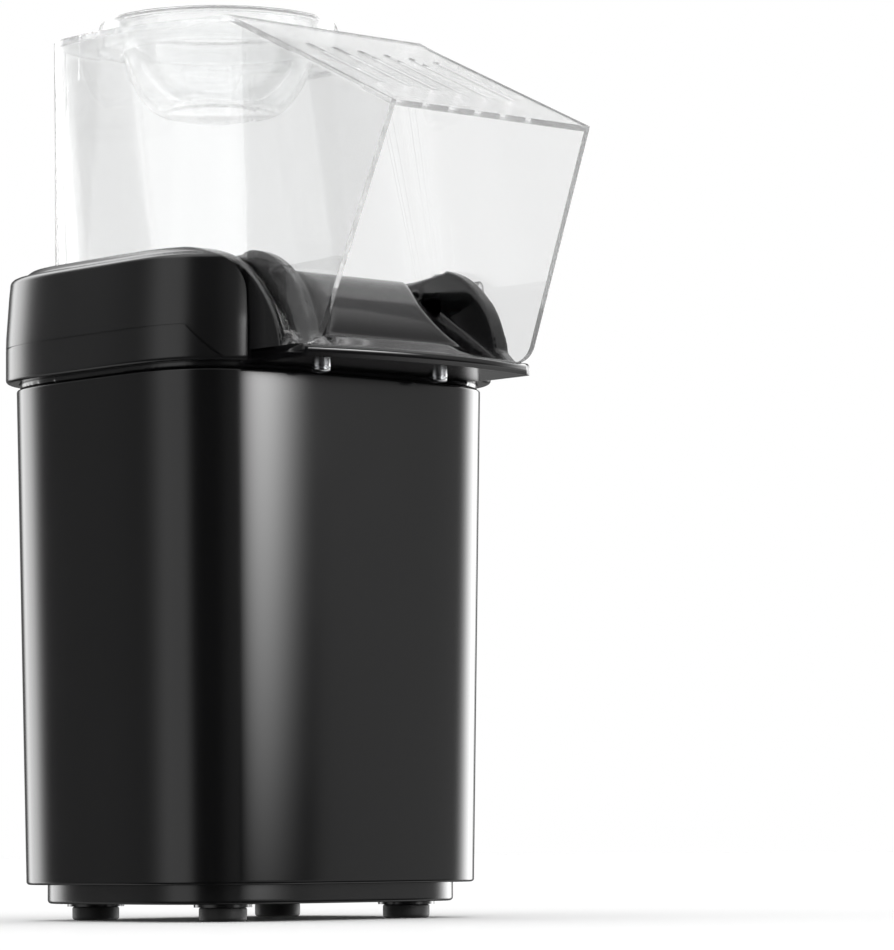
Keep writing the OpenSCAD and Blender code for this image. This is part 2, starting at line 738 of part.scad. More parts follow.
louvre_z = chamber_bottom + 13;
function arc(cx, cy, r, from, to, n) = [
    for (i = [0:n]) let (t = from + (to - from) * i / n) [cx + r * cos(t), cy + r * sin(t)]
];
chamber_round = 12;
module popping_chamber() color([0.8, 0.81, 0.83]) place() on_axis() difference() {
    rotate_extrude() polygon(concat(
        [[0, chamber_bottom - chamber_wall]],
        arc(chamber_r - chamber_round, chamber_bottom + chamber_round,
            chamber_round + chamber_wall, -90, 0, 6),
        [[chamber_out, flange_z], [flange_r, flange_z], [flange_r, flange_z + chamber_wall],
         [chamber_r, flange_z + chamber_wall]],
        arc(chamber_r - chamber_round, chamber_bottom + chamber_round, chamber_round, 0, -90, 6),
        [[0, chamber_bottom]]
    ));
    for (i = [0:louvre_count - 1])
        rotate(360 * i / louvre_count)
            translate([chamber_r, 0, louvre_z]) rotate([35, 0, 0])
                cube([8, 1.8, 13], center = true);
}

module chamber_gasket() color([0.75, 0.3, 0.2]) place()
    on_axis(deck_z - deck_t - gasket_t) tube(flange_r, chamber_r + 1, gasket_t);

module chamber_clamp_ring() color(steel) place() difference() {
    union() {
        on_axis(clamp_z) cylinder(r = flange_r + 1.5, h = clamp_t);
        at_clamp_screws() translate([0, 0, clamp_z]) cylinder(r = 4, h = clamp_t);
    }
    on_axis(clamp_z - 1) cylinder(r = chamber_out + 0.3, h = clamp_t + 2);
    at_clamp_screws() translate([0, 0, clamp_z - 1]) cylinder(r = m2[0] + 0.2, h = 5);
}

module clamp_screws() color(steel) place() at_clamp_screws() translate([0, 0, clamp_z])
    screw(m2, deck_z - 1.8 - clamp_z);

// ---- Heater --------------------------------------------------------------

pad_z = heater_top - 16;
module heater_housing() color([0.7, 0.71, 0.73]) place() difference() {
    union() {
        on_axis(heater_z) cylinder(r = heater_r, h = heater_h);
        on_axis(heater_z) cylinder(r = stack_flange_r, h = 1);
        at_stack_screws() translate([0, 0, heater_z]) cylinder(r = 4, h = 1);
        // flat pads for the thermostat and the fuse clip
        for (x = [-1, 1]) on_axis() translate([x * (heater_r - 3), 0, pad_z])
            cube([8, 18, 16], center = true);
    }
    on_axis(heater_z - 1) cylinder(r = heater_r - heater_wall, h = heater_h - heater_wall + 1);
    on_axis(heater_z) cylinder(r = chamber_out + 0.3, h = heater_h + 1);
    at_stack_screws() translate([0, 0, heater_z - 1]) cylinder(r = m2[0] + 0.2, h = 3);
}

mica_t = 0.8;
mica_z = heater_z + 3;
mica_h = 23;
mica_a = 32;
mica_foot = heater_r - heater_wall - 0.3;
module mica_plate(slot_z) difference() {
    translate([0, 0, mica_z]) union() {
        translate([-mica_a, -mica_t / 2, 0]) cube([2 * mica_a, mica_t, mica_h]);
        translate([-mica_foot, -mica_t / 2, 0]) cube([2 * mica_foot, mica_t, 4]);
    }
    translate([-mica_t / 2 - 0.1, -5, slot_z]) cube([mica_t + 0.2, 10, mica_h / 2 + 1]);
}
module mica_plate_long() color([0.82, 0.76, 0.6]) place() on_axis() mica_plate(mica_z + mica_h / 2);
module mica_plate_cross() color([0.82, 0.76, 0.6]) place() on_axis() rotate(90)
    mica_plate(mica_z - 1);

wire_r = 0.9;
coil_r = mica_a + wire_r + 0.25;
coil_z = mica_z + 6;
coil_pitch = 2.3;
coil_steps = 20;
coil_sides = 6;
module heater_coil() color([0.55, 0.5, 0.45]) place() on_axis(coil_z) {
    rings = coil_turns * coil_steps + 1;
    polyhedron(
        points = [for (i = [0:rings - 1], j = [0:coil_sides - 1])
            let (t = 360 * i / coil_steps, s = 360 * j / coil_sides, r = coil_r + wire_r * cos(s))
            [r * cos(t), r * sin(t), coil_pitch * i / coil_steps + wire_r * sin(s)]],
        faces = concat(
            [[for (j = [0:coil_sides - 1]) j]],
            [for (i = [0:rings - 2], j = [0:coil_sides - 1])
                [i * coil_sides + j, (i + 1) * coil_sides + j,
                 (i + 1) * coil_sides + (j + 1) % coil_sides, i * coil_sides + (j + 1) % coil_sides]],
            [[for (j = [coil_sides - 1:-1:0]) (rings - 1) * coil_sides + j]]
        )
    );
}

pad_x = heater_r + 1;
module thermostat() color([0.85, 0.83, 0.78]) place() on_axis()
    translate([pad_x, 0, pad_z]) {
        rotate([0, 90, 0]) cylinder(r = 7.5, h = 6);
        for (y = [-1, 1]) translate([5.5, y * 4 - 1.5, 5]) cube([0.8, 3, 9]);
    }

module thermal_fuse() color([0.8, 0.8, 0.82]) place() on_axis()
    translate([-pad_x - 2.6, 0, pad_z]) {
        rotate([90, 0, 0]) cylinder(r = 2, h = 12, center = true);
        rotate([90, 0, 0]) cylinder(r = 0.5, h = 18, center = true);
        translate([0.4, -5, -1]) cube([2.2, 10, 2]);
    }

// ---- Fan -----------------------------------------------------------------

duct_flange_t = 2;
module fan_duct() color(soft_black) place() difference() {
    union() {
        on_axis(duct_z) cylinder(r = heater_r, h = duct_h);
        on_axis(heater_z - duct_flange_t) cylinder(r = stack_flange_r, h = duct_flange_t);
        at_stack_screws() translate([0, 0, heater_z - 8]) cylinder(r = 4, h = 8);
    }
    difference() {
        on_axis(duct_z - 1) cylinder(r = duct_in, h = duct_h + 2);
        on_axis(duct_z) cylinder(r = spider_r, h = spider_t);
        for (t = [30:120:270]) on_axis(duct_z) rotate(t)
            translate([spider_r - 3, -3.5, 0]) cube([duct_in - spider_r + 4, 7, spider_t]);
    }
    on_axis(duct_z - 1) cylinder(r = boss_r + 0.3, h = 10);
    at_motor_screws() translate([0, 0, duct_z - 1]) cylinder(r = m2[0] + 0.2, h = 10);
    at_stack_screws() translate([0, 0, heater_z - 9]) cylinder(r = m2[0] + slack, h = 12);
}

module duct_screws() color(steel) place() at_stack_screws() translate([0, 0, heater_z + 1])
    rotate([180, 0, 0]) screw(m2, 8);

blade_pitch = 32;
module fan_impeller() color([0.9, 0.9, 0.88]) place() on_axis() difference() {
    union() {
        translate([0, 0, fan_z]) cylinder(r = hub_r, h = fan_h);
        intersection() {
            for (i = [0:blade_count - 1]) rotate(360 * i / blade_count)
                translate([hub_r - 2, 0, fan_z + fan_h / 2]) rotate([blade_pitch, 0, 0])
                    translate([0, -11, -0.8]) cube([fan_dia / 2, 22, 1.6]);
            translate([0, 0, fan_z]) cylinder(r = fan_dia / 2, h = fan_h);
        }
    }
    translate([0, 0, fan_z - 1]) cylinder(r = shaft_r + 0.02, h = fan_h - 1);
    difference() {
        translate([0, 0, fan_z - 1]) cylinder(r = hub_r - 2, h = fan_h - 4);
        translate([0, 0, fan_z - 2]) cylinder(r = 4, h = fan_h);
    }
}

// ---- Motor ---------------------------------------------------------------

shaft_low = motor_z - 1;
module motor_shaft() color(steel) place() on_axis(shaft_low)
    cylinder(r = shaft_r, h = fan_z + fan_h - 2.2 - shaft_low);

armature_r = motor_r - can_wall - 4;
module motor_armature() color([0.6, 0.35, 0.15]) place() on_axis() difference() {
    union() {
        difference() {
            translate([0, 0, motor_z + 9]) cylinder(r = armature_r, h = motor_len - 15);
            for (t = [0:60:300]) rotate(t) translate([armature_r - 2.5, -0.8, motor_z + 8])
                cube([5, 1.6, motor_len - 13]);
        }
        translate([0, 0, motor_z + 3.5]) cylinder(r = 4, h = 6);
    }
    translate([0, 0, motor_z]) cylinder(r = shaft_r + 0.02, h = motor_len);
}

bush_r = 3;
module motor_can() color(steel) place() on_axis() difference() {
    union() {
        translate([0, 0, motor_z]) cylinder(r = motor_r, h = motor_len);
        translate([0, 0, motor_top - eps]) cylinder(r = boss_r, h = 2.5);
    }
    translate([0, 0, motor_z - 1]) cylinder(r = motor_r - can_wall, h = motor_len - 0.5);
    translate([0, 0, motor_top - 5]) cylinder(r = bush_r + 0.02, h = 10);
    for (x = [-1, 1]) translate([x * motor_screw_x, 0, motor_top - 5])
        cylinder(r = m2[0] + slack, h = 10);
}

motor_screw_x = 9.5;
module at_motor_screws() for (x = [-1, 1]) on_axis() translate([x * motor_screw_x, 0, 0]) children();

module motor_magnets() color([0.2, 0.2, 0.22]) place() on_axis(motor_z + 8) difference() {
    tube(motor_r - can_wall - 0.1, armature_r + 0.5, motor_len - 13);
    for (t = [0, 180]) rotate(t) translate([0, -4, -1]) cube([40, 8, motor_len]);
}

cap_t = 2.5;
module motor_end_cap() color([0.85, 0.85, 0.8]) place() on_axis() difference() {
    union() {
        translate([0, 0, motor_z - cap_t]) cylinder(r = motor_r, h = cap_t);
        translate([0, 0, motor_z - eps]) cylinder(r = motor_r - can_wall - 0.1, h = 1.5 + eps);
        for (x = [-1, 1]) translate([x * 10 - 0.4, -1.5, motor_z - cap_t - 4]) cube([0.8, 3, 5]);
    }
    translate([0, 0, motor_z - cap_t - 1]) cylinder(r = bush_r + 0.02, h = 10);
}

module motor_brushes() color([0.25, 0.23, 0.22]) place() on_axis(motor_z + 1.6)
    for (x = [-1, 1]) translate([x * 7.2, 0, 2.8]) {
        cube([6, 3, 3], center = true);
        translate([x * 1.5, 0, -2.1]) cube([3, 3, 1.4], center = true);
    }

module motor_bushes() color([0.72, 0.5, 0.25]) place() on_axis() {
    translate([0, 0, motor_top - 0.5]) tube(bush_r, shaft_r + run_gap, 2.9);
    translate([0, 0, motor_z - cap_t + 0.2]) tube(bush_r, shaft_r + run_gap, 3.5);
}

module motor_screws() color(steel) place() at_motor_screws()
    translate([0, 0, duct_z + spider_t]) rotate([180, 0, 0]) screw(m2, spider_t + 1.2);

// ---- Electrics -----------------------------------------------------------

board_z = base_z + base_floor + post_h;
module rectifier_board() color([0.1, 0.35, 0.15]) place() difference() {
    translate([board_x - 13, -16, board_z]) cube([26, 32, 1.6]);
    for (x = [-1, 1], y = [-1, 1]) translate([board_x + x * 9, y * 11, board_z - 1])
        cylinder(r = m2[0] + 0.2, h = 5);
}

module rectifier_diodes() color(soft_black) place() for (y = [-6:4:6])
    translate([board_x, y, board_z + 1.6]) {
        translate([-3, 0, 2]) rotate([0, 90, 0]) cylinder(r = 1.3, h = 6);
        for (x = [-1, 1]) translate([x * 4.2 - 0.4, -0.4, 0]) cube([0.8, 0.8, 2.4]);
        translate([-4.6, -0.4, 1.6]) cube([9.2, 0.8, 0.8]);
    }

module board_screws() color(steel) place() for (x = [-1, 1], y = [-1, 1])
    translate([board_x + x * 9, y * 11, board_z + 1.6]) rotate([180, 0, 0]) screw(m2, 8);

terminal_z = base_z + base_floor;
terminal_y = 27;
module terminal_block() color([0.92, 0.92, 0.9]) place() difference() {
    translate([-14, terminal_y, terminal_z]) cube([28, 12, 11]);
    for (x = [-9, 0, 9]) {
        translate([x, terminal_y - 1, terminal_z + 5]) rotate([-90, 0, 0]) cylinder(r = 1.8, h = 14);
        translate([x, terminal_y + 3, terminal_z + 6]) cylinder(r = 1.8, h = 6);
        translate([x, terminal_y + 9, terminal_z + 6]) cylinder(r = 1.8, h = 6);
    }
}

// ---- Switch --------------------------------------------------------------

switch_face = seat_y(switch_z, switch_x) + 2.2;
switch_deep = 14;
rocker_y = switch_face - 2;              // depth of the rocker's pivot
pin_r = 1;
module switch_housing() color(black) place() difference() {
    union() {
        translate([switch_x - switch_w / 2, switch_face - 2.2, switch_z - switch_h / 2])
            cube([switch_w, 2.2, switch_h]);
        translate([switch_x - switch_w / 2 + 1.2, switch_face - switch_deep,
                   switch_z - switch_h / 2 + 1.2])
            cube([switch_w - 2.4, switch_deep - 1, switch_h - 2.4]);
    }
    translate([switch_x - switch_w / 2 + 2.6, switch_face - switch_deep + 2,
               switch_z - switch_h / 2 + 2.2])
        cube([switch_w - 5.2, switch_deep, switch_h - 4.4]);
    translate([switch_x, rocker_y, switch_z]) rotate([0, 90, 0])
        cylinder(r = pin_r + run_gap, h = switch_w - 3.4, center = true);
}

// Rocker: a barrel with two paddle faces, pressed in at its lower half
module switch_rocker() color([0.08, 0.08, 0.085]) place() translate([switch_x, rocker_y, switch_z])
    rotate([rocker_tilt, 0, 0]) {
        rotate([0, 90, 0]) cylinder(r = pin_r, h = switch_w - 3.6, center = true);
        rotate([0, 90, 0]) translate([0, 0, -(switch_w - 6) / 2]) linear_extrude(switch_w - 6)
            polygon([[-4.6, 0.6], [0, 2.2], [4.6, 0.6], [4.2, -1], [1.4, -3], [-1.4, -3], [-4.2, -1]]);
    }

module switch_terminals() color([0.8, 0.7, 0.4]) place() for (x = [-4, 4])
    translate([switch_x + x - 0.4, switch_face - switch_deep - 6, switch_z - 2.4]) cube([0.8, 6, 4.8]);

// ---- Cord entry ----------------------------------------------------------

gland_face = seat_y(gland_z, gland_x);
module cord_gland() color(black) place() translate([gland_x, gland_face, gland_z])
    rotate([-90, 0, 0]) difference() {
        union() {
            cylinder(r = gland_flange_r, h = 2.4);
            translate([0, 0, 2.4 - eps]) cylinder(r1 = gland_neck_r + 1, r2 = gland_neck_r, h = 2.4);
            translate([0, 0, -14]) cylinder(r = gland_neck_r, h = 14 + eps);
        }
        translate([0, 0, -15]) cylinder(r = cord_hole_dia / 2, h = 30);
    }

module gland_nut() color(soft_black) place()
    translate([gland_x, gland_face - body_wall - 4.2, gland_z]) rotate([-90, 0, 0]) difference() {
        cylinder(r = gland_neck_r + 4, h = 4, $fn = 6);
        translate([0, 0, -1]) cylinder(r = gland_neck_r + slack, h = 6);
    }

rubber_feet();
base_plate();
base_screws();
body_shell();
collar();
chute_frame();
chute_underplate();
chute_screws();
frame_screws();
popping_chamber();
chamber_gasket();
chamber_clamp_ring();
clamp_screws();
heater_housing();
mica_plate_long();
mica_plate_cross();
heater_coil();
thermostat();
thermal_fuse();
fan_duct();
duct_screws();
fan_impeller();
motor_shaft();
motor_armature();
motor_can();
motor_magnets();
motor_end_cap();
motor_brushes();
motor_bushes();
motor_screws();
rectifier_board();
rectifier_diodes();
board_screws();
terminal_block();
switch_housing();
switch_rocker();
switch_terminals();
cord_gland();
gland_nut();
hood();
measuring_cup();
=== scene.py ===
"""Hot-air popcorn maker: black housing, chute, clear lift-off hood and measuring cup."""
import math

import bmesh
import bpy
from mathutils import Matrix, Vector


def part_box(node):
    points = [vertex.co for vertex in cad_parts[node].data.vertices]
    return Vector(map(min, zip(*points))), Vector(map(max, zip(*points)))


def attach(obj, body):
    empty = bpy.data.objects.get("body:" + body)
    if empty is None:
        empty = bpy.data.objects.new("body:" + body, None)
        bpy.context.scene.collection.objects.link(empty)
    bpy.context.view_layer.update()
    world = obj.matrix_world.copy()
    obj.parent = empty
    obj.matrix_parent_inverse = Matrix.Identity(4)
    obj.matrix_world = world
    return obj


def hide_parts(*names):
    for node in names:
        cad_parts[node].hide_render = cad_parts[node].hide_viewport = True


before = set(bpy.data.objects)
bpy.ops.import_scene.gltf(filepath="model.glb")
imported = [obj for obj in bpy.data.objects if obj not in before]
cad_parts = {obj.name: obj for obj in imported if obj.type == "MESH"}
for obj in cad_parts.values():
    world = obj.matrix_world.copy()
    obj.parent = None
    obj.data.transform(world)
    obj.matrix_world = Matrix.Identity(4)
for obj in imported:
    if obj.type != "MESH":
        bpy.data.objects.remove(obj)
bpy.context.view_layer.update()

# ---- Camera: a long lens a little above the table, looking up at the chute ------------
# It stands in front of the machine's left corner, turned a hair so that uprights lean.
camera_turn = math.radians(42.173)
camera_rise = math.radians(4.74)
camera_roll = math.radians(-0.423)
across_view = Vector((math.cos(camera_turn), -math.sin(camera_turn), 0))
along_view = Vector((
    math.sin(camera_turn) * math.cos(camera_rise),
    math.cos(camera_turn) * math.cos(camera_rise),
    math.sin(camera_rise),
))
up_view = across_view.cross(along_view)
cos_roll, sin_roll = math.cos(camera_roll), math.sin(camera_roll)
camera = bpy.data.objects.new("camera", bpy.data.cameras.new("camera"))
camera.matrix_world = Matrix.Translation((-0.9466, -1.11315, 0.0233)) @ Matrix((
    across_view * cos_roll + up_view * sin_roll,
    up_view * cos_roll - across_view * sin_roll,
    -along_view,
)).transposed().to_4x4()
camera.data.lens = 169.73
camera.data.clip_start = 0.05
bpy.context.scene.collection.objects.link(camera)
bpy.context.scene.camera = camera
bpy.context.scene.view_settings.view_transform = "Standard"


# ---- Studio: pale floor, soft lights and a dim surround that the gloss reflects ------
# The room is white to the eye and to matt surfaces. What shines sees dim walls with a
# few soft upright panels, so that black plastic stays black between its highlights.
class Signal:
    """A socket of a shader that takes part in arithmetic."""

    def __init__(self, tree, socket):
        self.tree, self.socket = tree, socket

    def math(self, operation, first, second=0.0):
        return self.tree.node("ShaderNodeMath", {"operation": operation}, {0: first, 1: second})

    def __add__(self, other):
        return self.math("ADD", self, other)

    def __sub__(self, other):
        return self.math("SUBTRACT", self, other)

    def __rsub__(self, other):
        return self.math("SUBTRACT", other, self)

    def __mul__(self, other):
        return self.math("MULTIPLY", self, other)

    def __pow__(self, other):
        return self.math("POWER", self, other)

    __radd__ = __add__
    __rmul__ = __mul__


class Nodes:
    """The node tree of a material, a light or the room."""

    def __init__(self, owner):
        owner.use_nodes = True
        self.tree = owner.node_tree
        self.tree.nodes.clear()

    def node(self, kind, settings=None, sockets=None, out=0):
        made = self.tree.nodes.new(kind)
        for key, value in (settings or {}).items():
            if key == "stops":
                self.set_stops(made.color_ramp, value)
            else:
                setattr(made, key, value)
        for key, value in (sockets or {}).items():
            if isinstance(value, Signal):
                self.tree.links.new(value.socket, made.inputs[key])
            else:
                made.inputs[key].default_value = value
        return Signal(self, made.outputs[out]) if made.outputs else None

    def set_stops(self, ramp, stops):
        while len(ramp.elements) < len(stops):
            ramp.elements.new(1)
        for element, (place, colour) in zip(ramp.elements, stops):
            element.position = place
            element.color = colour

    def mix(self, share, first, second):
        return self.node(
            "ShaderNodeMix", {"data_type": "RGBA"}, {"Factor": share, "A": first, "B": second}, "Result"
        )


def grey(value):
    return (value, value, value, 1)


def soft_panel(room, angle, middle, half, edge):
    """1 inside an upright panel of the room and 0 outside, with soft edges, by angle round the room."""
    away = room.node("ShaderNodeMath", {"operation": "ABSOLUTE"}, {0: angle - math.radians(middle)})
    return room.node(
        "ShaderNodeMapRange",
        {"interpolation_type": "SMOOTHERSTEP"},
        {"Value": away, "From Min": math.radians(half - edge), "From Max": math.radians(half + edge),
         "To Min": 1.0, "To Max": 0.0},
    )


bpy.context.scene.world = bpy.data.worlds.new("studio")
room = Nodes(bpy.context.scene.world)
way = room.node("ShaderNodeTexCoord", out="Generated")
way_x = room.node("ShaderNodeSeparateXYZ", None, {0: way}, "X")
way_y = room.node("ShaderNodeSeparateXYZ", None, {0: way}, "Y")
way_z = room.node("ShaderNodeSeparateXYZ", None, {0: way}, "Z")
round_room = room.node("ShaderNodeMath", {"operation": "ARCTAN2"}, {0: way_x, 1: way_y})
panels = (
    soft_panel(room, round_room, 88, 16, 14) * 7
    + soft_panel(room, round_room, -10, 14, 9) * 4.2
    + soft_panel(room, round_room, -82, 22, 16) * 0.8
    + soft_panel(room, round_room, 138, 34, 24) * 0.4
    + 0.2
)
overhead = room.node(
    "ShaderNodeMapRange", {"interpolation_type": "SMOOTHSTEP"},
    {"Value": way_z, "From Min": 0.35, "From Max": 0.75, "To Min": 0.0, "To Max": 1.6},
)
near_floor = room.node(
    "ShaderNodeMapRange", {"interpolation_type": "SMOOTHSTEP"},
    {"Value": way_z, "From Min": -0.45, "From Max": -0.12, "To Min": 0.12, "To Max": 1.0},
)
toward_camera = soft_panel(room, round_room, -138, 22, 16)
seen_in_gloss = panels * (1 - toward_camera * 0.8) * near_floor + overhead
through = room.node("ShaderNodeLightPath", out="Is Transmission Ray")
is_gloss = room.node("ShaderNodeLightPath", out="Is Glossy Ray") * (1 - through)
is_matt = room.node("ShaderNodeLightPath", out="Is Diffuse Ray")
strength = is_gloss * seen_in_gloss + (1 - is_gloss) * (1 + is_matt * 0.2)
room.node(
    "ShaderNodeOutputWorld", None,
    {"Surface": room.node("ShaderNodeBackground", None, {"Color": grey(1), "Strength": strength})},
)


def card(name, angle, distance, width, low, high, brightness):
    """Upright light panel, brightest at its middle and top, that only gloss sees."""
    bm = bmesh.new()
    bmesh.ops.create_grid(bm, x_segments=1, y_segments=1, size=0.5)
    bmesh.ops.rotate(bm, verts=bm.verts, matrix=Matrix.Rotation(math.radians(90), 3, "X"))
    mesh = bpy.data.meshes.new(name)
    bm.to_mesh(mesh)
    bm.free()
    panel = bpy.data.objects.new(name, mesh)
    turn = math.radians(angle)
    panel.location = (math.sin(turn) * distance, -math.cos(turn) * distance, (low + high) / 2)
    panel.rotation_euler = (0, 0, turn)
    panel.scale = (width, 1, high - low)
    glow = Nodes(bpy.data.materials.new(name))
    place = glow.node("ShaderNodeTexCoord", out="Object")
    side = glow.node("ShaderNodeSeparateXYZ", None, {0: place}, "X")
    rise = glow.node("ShaderNodeSeparateXYZ", None, {0: place}, "Z") + 0.5
    spread = 1 - (side * 2) ** 2
    falloff = glow.node("ShaderNodeMath", {"operation": "MAXIMUM"}, {0: spread, 1: 0.0}) ** 1.5
    power = falloff * brightness * rise ** 1.6
    glow.node("ShaderNodeOutputMaterial", None,
              {"Surface": glow.node("ShaderNodeEmission", None, {"Strength": power})})
    mesh.materials.append(bpy.data.materials[name])
    panel.visible_camera = False
    panel.visible_diffuse = False
    panel.visible_transmission = False
    panel.visible_shadow = False
    bpy.context.scene.collection.objects.link(panel)


card("front_card", 17, 1.25, 0.95, -0.1, 0.45, 23)

key = bpy.data.objects.new("top_light", bpy.data.lights.new("top_light", "AREA"))
key.data.energy = 1.5
key.data.size = 1.2
key.location = (-0.3, -0.5, 1.6)
key.rotation_euler = (Vector((0.3, 0.5, -1.4))).to_track_quat("-Z", "Y").to_euler()
bpy.context.scene.collection.objects.link(key)

bm = bmesh.new()
bmesh.ops.create_grid(bm, x_segments=1, y_segments=1, size=8)
floor_mesh = bpy.data.meshes.new("floor")
bm.to_mesh(floor_mesh)
bm.free()
floor = bpy.data.objects.new("floor", floor_mesh)
paint = Nodes(bpy.data.materials.new("floor"))
matt = paint.node("ShaderNodeBsdfDiffuse", None, {"Color": grey(0.95)})
sheen = paint.node("ShaderNodeBsdfGlossy", None, {"Color": grey(1), "Roughness": 0.12})
paint.node("ShaderNodeOutputMaterial", None,
           {"Surface": paint.node("ShaderNodeMixShader", None, {0: 0.1, 1: matt, 2: sheen})})
floor_mesh.materials.append(bpy.data.materials["floor"])
floor.visible_glossy = False
bpy.context.scene.collection.objects.link(floor)


# ---- Body shell: one tall ABS moulding in polished black --------------------------------
# A rounded square that draws in a little towards the table, open at both ends, with rolled
# edges. The switch and the cord gland sit in openings in its rear wall.
body_low, body_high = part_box("body_shell")
axis_y = (body_low.y + body_high.y) / 2
squareness = 4.4


def in_mm(node):
    """Lowest and highest corner of a CAD node in millimetres, measured from the body's axis."""
    low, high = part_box(node)
    shift = Vector((0, axis_y, 0))
    return (low - shift) * 1000, (high - shift) * 1000


def push_out(verts, a, b, z):
    """Moves verts along their own rays from the axis onto the rounded square a by b at height z."""
    for v in verts:
        reach = (abs(v.co.x / a) ** squareness + abs(v.co.y / b) ** squareness) ** (-1 / squareness)
        v.co = (v.co.x * reach, v.co.y * reach, z)


def tower(levels, sides=320):
    """Closed upright solid through rounded squares given as half width, half depth and height."""
    bm = bmesh.new()
    bmesh.ops.create_circle(bm, cap_ends=True, segments=sides, radius=1)
    cap = bm.faces[:]
    push_out(bm.verts, *levels[0])
    for number, level in enumerate(levels[1:]):
        old = cap if number else []
        made = bmesh.ops.extrude_face_region(bm, geom=cap)["geom"]
        cap = [f for f in made if isinstance(f, bmesh.types.BMFace)]
        bmesh.ops.delete(bm, geom=old, context="FACES_ONLY")
        push_out({v for f in cap for v in f.verts}, *level)
    bmesh.ops.recalc_face_normals(bm, faces=bm.faces)
    return bm


def rolled(a, b, z, r, side, steps=5):
    """Levels of a rolled edge of radius r: side -1 starts a solid at z, side 1 ends it there."""
    turns = [math.radians(90 * i / steps) for i in range(steps + 1)]
    made = [(a - r * (1 - math.sin(t)), b - r * (1 - math.sin(t)), z - side * r * (1 - math.cos(t)))
            for t in turns]
    made.append((a, b, z - side * (r + 0.4)))
    return made[::-side]


def slab(points, axis, start, end):
    """Closed solid: an outline of two coordinates, extruded along X, Y or Z from start to end."""
    bm = bmesh.new()
    where = {"X": lambda p: (start, p[0], p[1]), "Y": lambda p: (p[0], start, p[1]),
             "Z": lambda p: (p[0], p[1], start)}[axis]
    face = bm.faces.new([bm.verts.new(where(p)) for p in points])
    made = bmesh.ops.extrude_face_region(bm, geom=[face])["geom"]
    along = Vector([(end - start) * (axis == name) for name in "XYZ"])
    bmesh.ops.translate(bm, verts=[v for v in made if isinstance(v, bmesh.types.BMVert)], vec=along)
    bmesh.ops.recalc_face_normals(bm, faces=bm.faces)
    return bm


def rod(radius, start, end, axis="Z", at=(0, 0), sides=64):
    """Closed round bar between two places along an axis, through at, the two other coordinates."""
    turns = [2 * math.pi * i / sides for i in range(sides)]
    outline = [(at[0] + radius * math.cos(t), at[1] + radius * math.sin(t)) for t in turns]
    return slab(outline, axis, start, end)


def as_object(bm, name="part"):
    """Object that holds a shape; the shape is used up."""
    mesh = bpy.data.meshes.new(name)
    bm.to_mesh(mesh)
    bm.free()
    made = bpy.data.objects.new(name, mesh)
    bpy.context.scene.collection.objects.link(made)
    return made


def as_bmesh(thing):
    """What an object looks like with its modifiers on; the object is used up."""
    seen = thing.evaluated_get(bpy.context.evaluated_depsgraph_get())
    bm = bmesh.new()
    bm.from_mesh(seen.to_mesh())
    seen.to_mesh_clear()
    mesh = thing.data
    bpy.data.objects.remove(thing)
    bpy.data.meshes.remove(mesh)
    return bm


def combine(operation, shape, *tools):
    """Joins, cuts or intersects closed solids, one after another; each is used up."""
    for tool in tools:
        whole, other = as_object(shape), as_object(tool)
        modifier = whole.modifiers.new("combine", "BOOLEAN")
        modifier.solver = "MANIFOLD"
        modifier.operation = operation
        modifier.object = other
        shape = as_bmesh(whole)
        mesh = other.data
        bpy.data.objects.remove(other)
        bpy.data.meshes.remove(mesh)
        if not shape.faces:
            raise ValueError("combine made nothing")
    return shape


def piece(name, bm, finish, body, slot, *nodes, sharp=35):
    """Makes the finished object from a shape in millimetres, and ties it to the CAD model."""
    bmesh.ops.scale(bm, verts=bm.verts, vec=(0.001, 0.001, 0.001))
    bmesh.ops.translate(bm, verts=bm.verts, vec=(0, axis_y, 0))
    for face in bm.faces:
        face.smooth = True
    made = as_object(bm, name)
    made.data.set_sharp_from_angle(angle=math.radians(sharp))
    made.data.materials.append(finish)
    weighted = made.modifiers.new("normals", "WEIGHTED_NORMAL")
    weighted.keep_sharp = True
    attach(made, body)
    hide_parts(*nodes)


def moulded(name, colour, roughness, grain=0.0, grain_size=0.4, wear=0.04):
    """Moulded plastic: colour drifts a little, gloss varies softly, and grain in mm lifts the surface."""
    made = bpy.data.materials.new(name)
    skin = Nodes(made)
    place = skin.node("ShaderNodeTexCoord", out="Object")
    clouds = skin.node("ShaderNodeTexNoise", None, {"Vector": place, "Scale": 35.0, "Detail": 4.0})
    fine = skin.node("ShaderNodeTexNoise", None,
                     {"Vector": place, "Scale": 1000 / grain_size, "Detail": 3.0, "Roughness": 0.6})
    dark = [c * 0.85 for c in colour]
    tone = skin.mix(clouds, (*dark, 1), (*colour, 1))
    shine = roughness + (clouds - 0.5) * wear + (fine - 0.5) * wear
    sockets = {"Base Color": tone, "Roughness": shine, "IOR": 1.5}
    if grain:
        sockets["Normal"] = skin.node(
            "ShaderNodeBump", None, {"Height": fine, "Strength": 0.5, "Distance": grain / 1000}
        )
    skin.node("ShaderNodeOutputMaterial", None,
              {"Surface": skin.node("ShaderNodeBsdfPrincipled", None, sockets)})
    return made


polished_black = moulded("polished_black", (0.003, 0.003, 0.0032), 0.13, wear=0.03)
shell_low, shell_high = in_mm("body_shell")
body_a, body_b = shell_high.x, shell_high.y
body_z, body_top = shell_low.z, shell_high.z
body_draft = 2.7
foot_a, foot_b = body_a - body_draft, body_b - body_draft
body_wall = 2.5


def body_levels(inset):
    """Levels of the body's outside, moved in by inset."""
    low = rolled(foot_a - inset, foot_b - inset, body_z, 1.0, -1)
    high = rolled(body_a - inset, body_b - inset, body_top, 0.8, 1)
    return low + high


